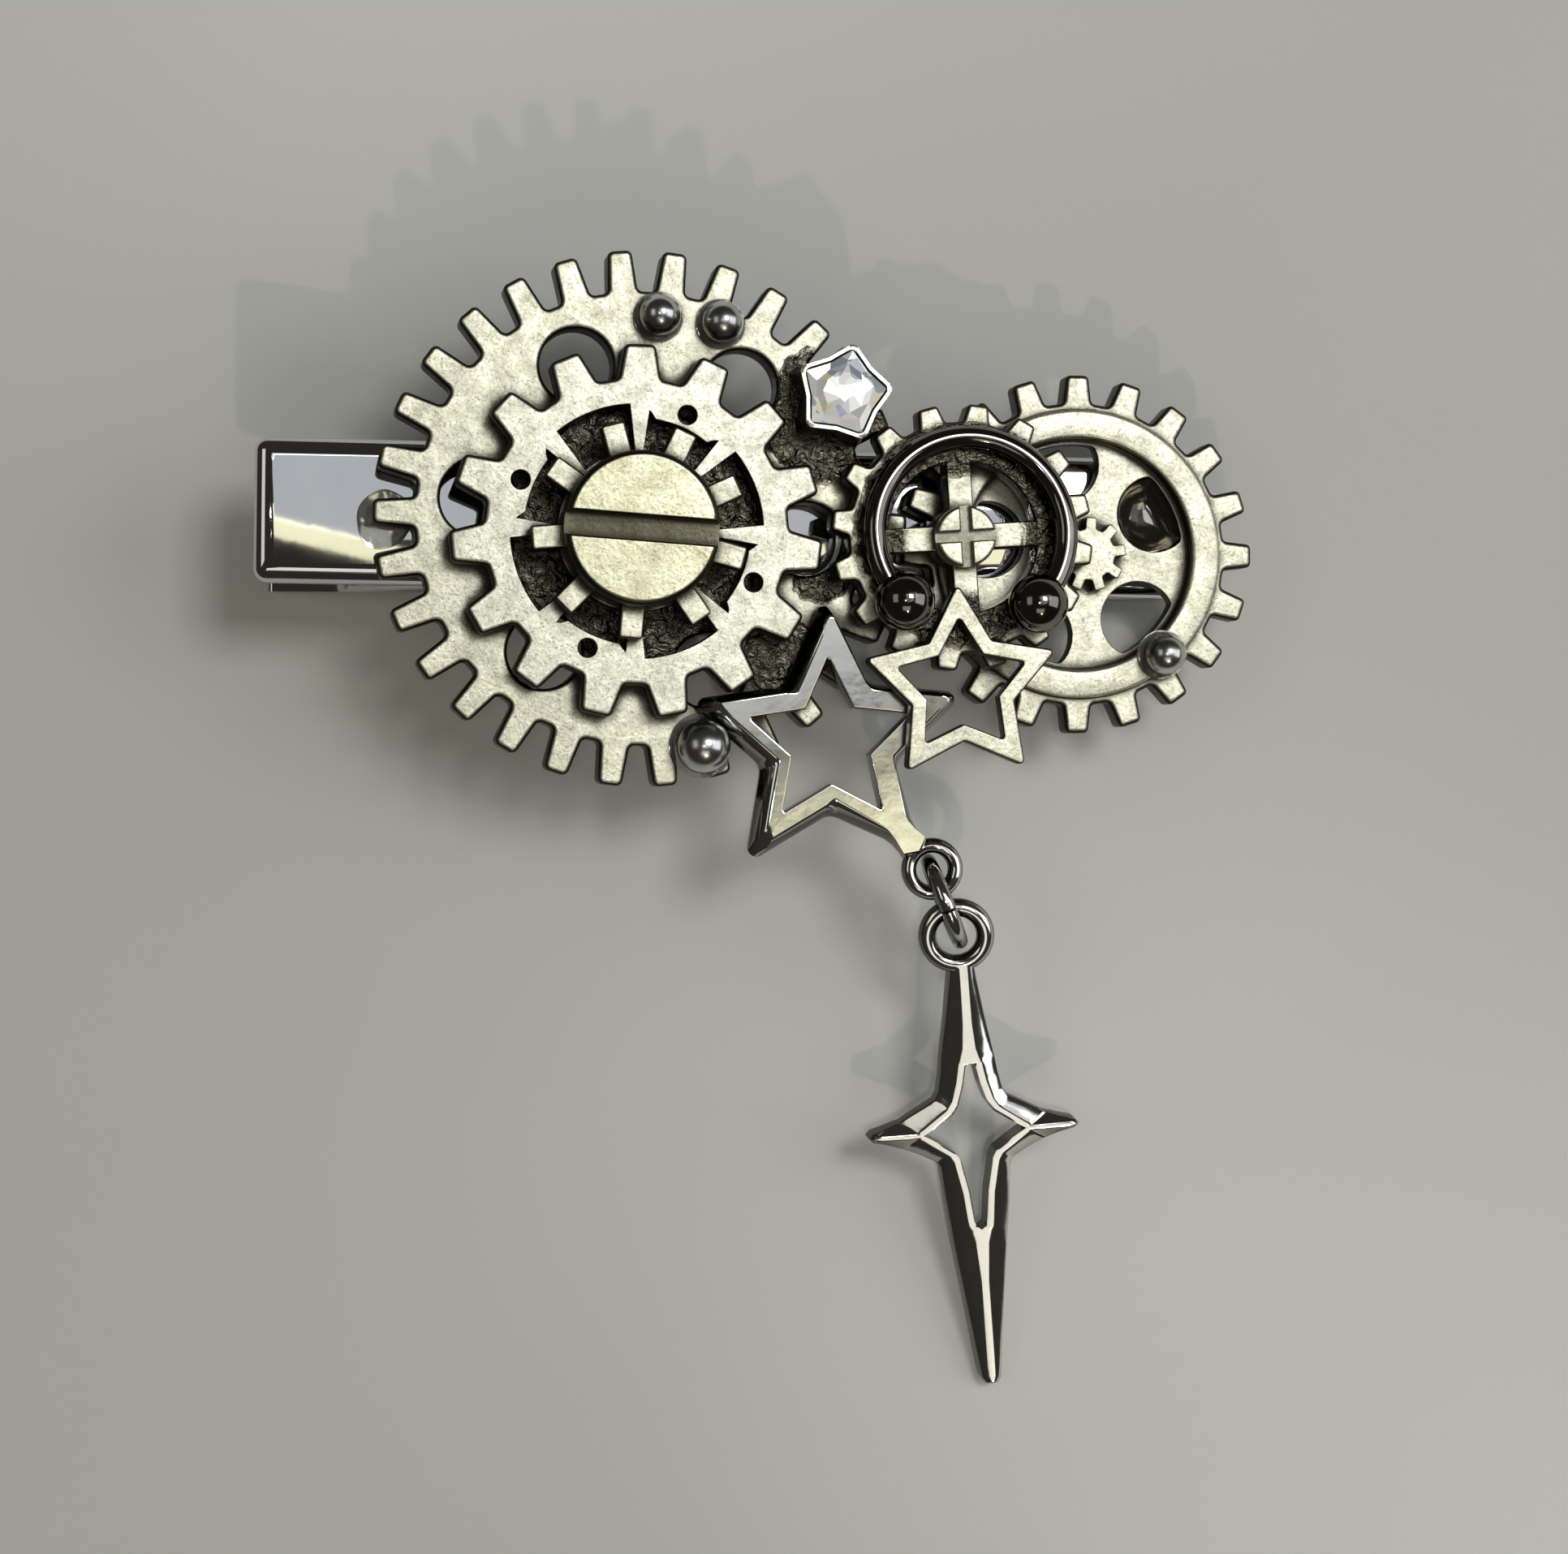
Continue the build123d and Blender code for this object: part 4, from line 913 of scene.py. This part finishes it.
# The jump ring and the long pendant.
# A round wire ring, cut once, hangs in the star's loop and carries a long four-pointed open star. The pendant
# is one polished casting with a ridge along its arms. It slopes down to the table, where its tip lies.
upper_hole = on_clip(loop_place)
hang = np.array((1.27, -3.10, -1.75)) / 1000
lower_hole = upper_hole + hang
hang_length = np.linalg.norm(hang)
jump_along = hang / hang_length
jump_side = np.cross(jump_along, (0, 0, 1))
jump_side /= np.linalg.norm(jump_side)
jump_up = np.cross(jump_side, jump_along)
jump_radius, jump_wire, jump_ends = hang_length / 2 + 0.00015, 0.00038, (109.0, 465.5)
jump_middle = (upper_hole + lower_hole) / 2
jump_rows = bent_wire(
    jump_middle, jump_along, jump_up, jump_radius, jump_wire, jump_wire, *jump_ends, steps=90, around=24
)
make_piece("wire_ring", "jump_ring", *joined(jump_rows, "flat"), polished_star, "dark_steel")

pendant_length, pendant_thick, pendant_roll = 23.1, 1.0, 0.22
back_height = lower_hole[2] * 1000 - pendant_thick / 2
pendant_slope, pendant_heading = math.asin(back_height / pendant_length), math.radians(-84.66)
heading, up = np.array((math.cos(pendant_heading), math.sin(pendant_heading), 0.0)), np.array((0.0, 0.0, 1.0))
pendant_x = math.cos(pendant_slope) * heading - math.sin(pendant_slope) * up
pendant_z = math.sin(pendant_slope) * heading + math.cos(pendant_slope) * up
pendant_axes = np.array([pendant_x, np.cross(pendant_z, pendant_x), pendant_z])


def on_pendant(points):
    """Millimetres along, across and above the pendant's back, from under its ring's middle, in metres."""
    start = np.array((lower_hole[0], lower_hole[1], back_height / 1000))
    return start + np.asarray(points, float) @ pendant_axes / 1000


# Half of the pendant, ring end first: a point of its outline, and the point of the ridge or window edge beside
# it. Then how far out from that the middle and the foot of the rounded crest lie, in runs of stations.
pendant_stations = np.array(
    [
        (1.40, 0.58, 1.40, 0.00), (2.30, 0.70, 2.30, 0.00), (4.20, 0.98, 4.45, 0.00),
        (5.30, 1.18, 5.75, 0.00), (5.85, 1.27, 6.36, 0.00), (6.20, 1.33, 6.42, 0.22),
        (7.00, 1.43, 7.45, 0.42), (7.85, 1.60, 8.45, 0.72), (8.20, 1.78, 8.85, 0.98),
        (8.75, 2.75, 9.40, 1.75), (9.20, 3.50, 9.80, 2.40), (9.25, 3.70, 9.86, 2.52),
        (9.45, 4.30, 9.86, 3.60), (9.62, 4.92, 9.86, 4.50), (9.86, 5.13, 9.86, 4.80),
        (10.10, 4.92, 9.86, 4.50), (10.30, 4.25, 9.86, 3.60), (10.55, 3.60, 9.86, 2.52),
        (10.62, 3.40, 9.92, 2.40), (11.00, 2.55, 10.40, 1.65), (11.38, 1.90, 10.90, 0.98),
        (11.75, 1.72, 11.25, 0.78), (13.40, 1.58, 12.90, 0.45), (14.90, 1.42, 14.72, 0.26),
        (15.30, 1.38, 14.92, 0.00), (15.90, 1.31, 15.50, 0.00), (18.00, 1.05, 17.60, 0.00),
        (20.60, 0.74, 20.40, 0.00), (22.75, 0.50, 22.60, 0.00), (23.05, 0.30, 22.85, 0.00),
        (23.07, 0.00, 22.90, 0.00),
    ]
)
plain, narrow, wide, edge, tip = (0.0, 0.32), (0.06, 0.48), (0.20, 0.64), (0.20, 0.46), (0.10, 0.40)
crest_runs = [plain, (0.0, 0.36), narrow, wide, edge, tip, plain, tip, edge, wide, narrow, plain]
crest = np.repeat(crest_runs, [2, 1, 1, 1, 5, 1, 7, 1, 5, 1, 1, 5], axis=0)
station = np.arange(len(pendant_stations))
finer = np.round(np.linspace(0, station[-1], 5 * station[-1] + 1), 3)
outline_x, outline_y, ridge_x, ridge_y, crest_middle, crest_foot = (
    np.interp(finer, station, column) for column in (*pendant_stations.T, *crest.T)
)
slope_width = np.hypot(outline_x - ridge_x, outline_y - ridge_y)
crest_foot = np.minimum(crest_foot, 0.6 * slope_width)
crest_middle = np.minimum(crest_middle, 0.5 * crest_foot)

# The outer edge lies lower the wider the slope is, evened out by a running mean of fifteen stations. The
# crest falls away from its middle with the fourth power of the distance, and every level closes in on the
# middle of the thickness where the arm enters the ring.
edge_level = np.maximum(0.955 - 0.445 * (slope_width - crest_foot), 0.3)
edge_level = np.convolve(np.pad(edge_level, 7, "edge"), np.full(15, 1 / 15), "valid")
half_rows = [(slope_width - 0.06, 0.0), (slope_width, 0.07), (slope_width, edge_level - 0.1)]
half_rows += [(slope_width - 0.02, edge_level - 0.03), (slope_width - 0.08, edge_level + 0.03)]
crest_drop = 0.045
for part in (1.0, 0.9, 0.8, 0.65, 0.5, 0.35, 0.2, 0.0):
    over = (part * crest_foot - crest_middle) / (crest_foot - crest_middle)
    half_rows.append((part * crest_foot, pendant_thick - crest_drop * over**4))
half_rows.append((0.0, 0.0))
away, level = (np.array([row[k] + 0 * slope_width for row in half_rows]) for k in (0, 1))
share, mid_thick = np.clip(away / slope_width, 0, 1), pendant_thick / 2
level = mid_thick + (level - mid_thick) * np.interp(finer, [0, 1], [0.94, 1.0])
half = np.stack([ridge_x + share * (outline_x - ridge_x), ridge_y + share * (outline_y - ridge_y), level], -1)

# faces between the rows, and across the back; where there is no window, the halves meet along the ridge
in_window = (finer[:-1] >= 4) & (finer[1:] <= 24) & ~((finer[:-1] >= 11) & (finer[1:] <= 17))
half_grid = np.arange(level.size).reshape(level.shape)
around_half = np.vstack([half_grid, half_grid[:1]])
quads = np.stack([around_half[:-1, :-1], around_half[:-1, 1:], around_half[1:, 1:], around_half[1:, :-1]], -1)
quads[-2][~in_window] = -1
half_faces = [face for face in quads.reshape(-1, 4).tolist() if face[0] >= 0] + [half_grid[:, 0].tolist()]
pendant_points = np.concatenate([half.reshape(-1, 3), (half * (1, -1, 1)).reshape(-1, 3)])
pendant_points[:, 1] += pendant_roll * pendant_points[:, 2]  # its crest leans over, as the drop lies rolled
pendant_faces = half_faces + [[level.size + k for k in face][::-1] for face in half_faces]
pendant_ring = bent_wire((0, 0, mid_thick), *flat_plane, radius=1.40, thick=0.47, wide=0.44, steps=72)
pendant_solid = solder(
    "long_star", (on_pendant(pendant_points), pendant_faces), joined(on_pendant(pendant_ring), "ring")
)
make_piece("long_star", "pendant", *pendant_solid, polished_star, "polished_metal", sharp=30.0)

# The spring.
# A flat strip of blued spring steel bent round the pin: one arm lies under the strip, one along the lever.
spring_half, spring_thick, bend = 1.6, 0.35, 0.875
bend_turn = np.radians(np.linspace(90, -90, 17))
upper_arm = np.linspace((6.5, -0.975), (19.2, -1.398), 16)
round_pin = np.stack([pin_along + bend * np.cos(bend_turn), -pin_depth + bend * np.sin(bend_turn)], -1)
lower_arm = np.linspace((19.2, -3.407), (6.337, -7.133), 16)
path = np.concatenate([upper_arm, round_pin, lower_arm])
along_path = np.gradient(path, axis=0)
along_path /= np.linalg.norm(along_path, axis=1)[:, None]
square = np.stack([-along_path[:, 1], along_path[:, 0]], -1)
far = spring_half + 0.5j * spring_thick
section = rounded([-far, far.conjugate(), far, -far.conjugate()], 0.1, 4)
side_view = path[:, None, :] + square[:, None, :] * section.imag[None, :, None]
across = section.real[None, :] + 0 * side_view[..., 0]
spring_shape = joined(on_clip(np.stack([side_view[..., 0], across, side_view[..., 1]], -1)), "flat")
spring_steel = metal("spring_steel", (0.42, 0.42, 0.43), (0.33, 0.33, 0.34), 0.2, 0.3, 4000.0, 1e-6, 700.0)
spring = make_piece("bent_spring", "clip_spring", *spring_shape, spring_steel, "spring_steel", body=None)
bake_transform(spring)

# The jaw, the lever and the pin.
# The lower strip is one pressed piece with the lever at its tail and a toothed jaw at its nose, and it turns
# on a riveted pin. Both keep the shape they are pressed to, in the strip's own plated steel.
for node in ("clip_jaw", "hinge_pin"):
    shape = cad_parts[node]
    shape.data.materials.clear()
    shape.data.materials.append(plated_steel)

# The glue that shows.
# Clear glue was pressed out beside the large gear, and set on the strip as a flat drop. In the right gear's
# upper window it climbed the wall as it set, and left a dish in old dark glue that leans to one side. The
# dish's dark brown is partly painted shade of the deep window.

# the drop: an ellipse with three slow waves on it, whose height falls to the edge as a quarter ellipse does
drop_middle, drop_low, drop_height = 6.1 - 0.4j, 0.02, 0.07
angle = np.linspace(0, 2 * np.pi, 56, endpoint=False)
wave = np.sin(2 * angle + 0.6) + 0.6 * np.sin(3 * angle + 1.2) + 0.4 * np.sin(5 * angle)
drop_edge = (1.3 * np.cos(angle) + 1.45j * np.sin(angle)) * (1 + 0.05 * wave)
drop_turn = np.linspace(0, np.pi / 2, 9)
drop_rows = np.vstack([np.outer(np.sin(drop_turn), drop_edge), 0.98 * drop_edge, 0 * drop_edge])
drop_levels = [*(drop_low + drop_height * np.cos(drop_turn)), drop_low - 0.01, drop_low - 0.01]
drop = joined(on_clip(stacked(drop_rows + drop_middle, drop_levels)))
make_piece("glue_on_strip", "glue_plate", *drop, clear_glue, "clear_glue", sharp=60.0)

# the dish: its level rises with the cube of the share of the way to the window's edge, less a lean
dish_middle = spoke(4.0, first_window)
dish_share = np.array([0.0, 0.08, 0.16, 0.25, 0.35, 0.46, 0.58, 0.7, 0.82, 0.92, 1.0])[:, None]
dish = dish_share * (clipped_window(first_window, 1.74, 5.34, 56)[::-1] - dish_middle)
dish_lean = 0.05 * dish.real + 0.15 * dish.imag
dish_level = 0.25 + 0.72 * dish_share**3 - (1 - dish_share**2) * dish_lean
dish_rows = np.vstack([dish, dish[-1:], 0 * dish[:1]]) + dish_middle + complex(*right_place)
dish_points = stacked(dish_rows, np.vstack([dish_level, 0.03 + 0 * dish_level[:2]]))
# dark brown glue, partly painted shade of the deep window
dark_glue_and_shade = glue("dark_glue_and_shade", (0.16, 0.145, 0.11), (0.30, 0.28, 0.22))
dish_shape = joined(on_clip(dish_points))
make_piece("glue_in_window", "glue_window", *dish_shape, dark_glue_and_shade, "clear_glue", sharp=60.0)
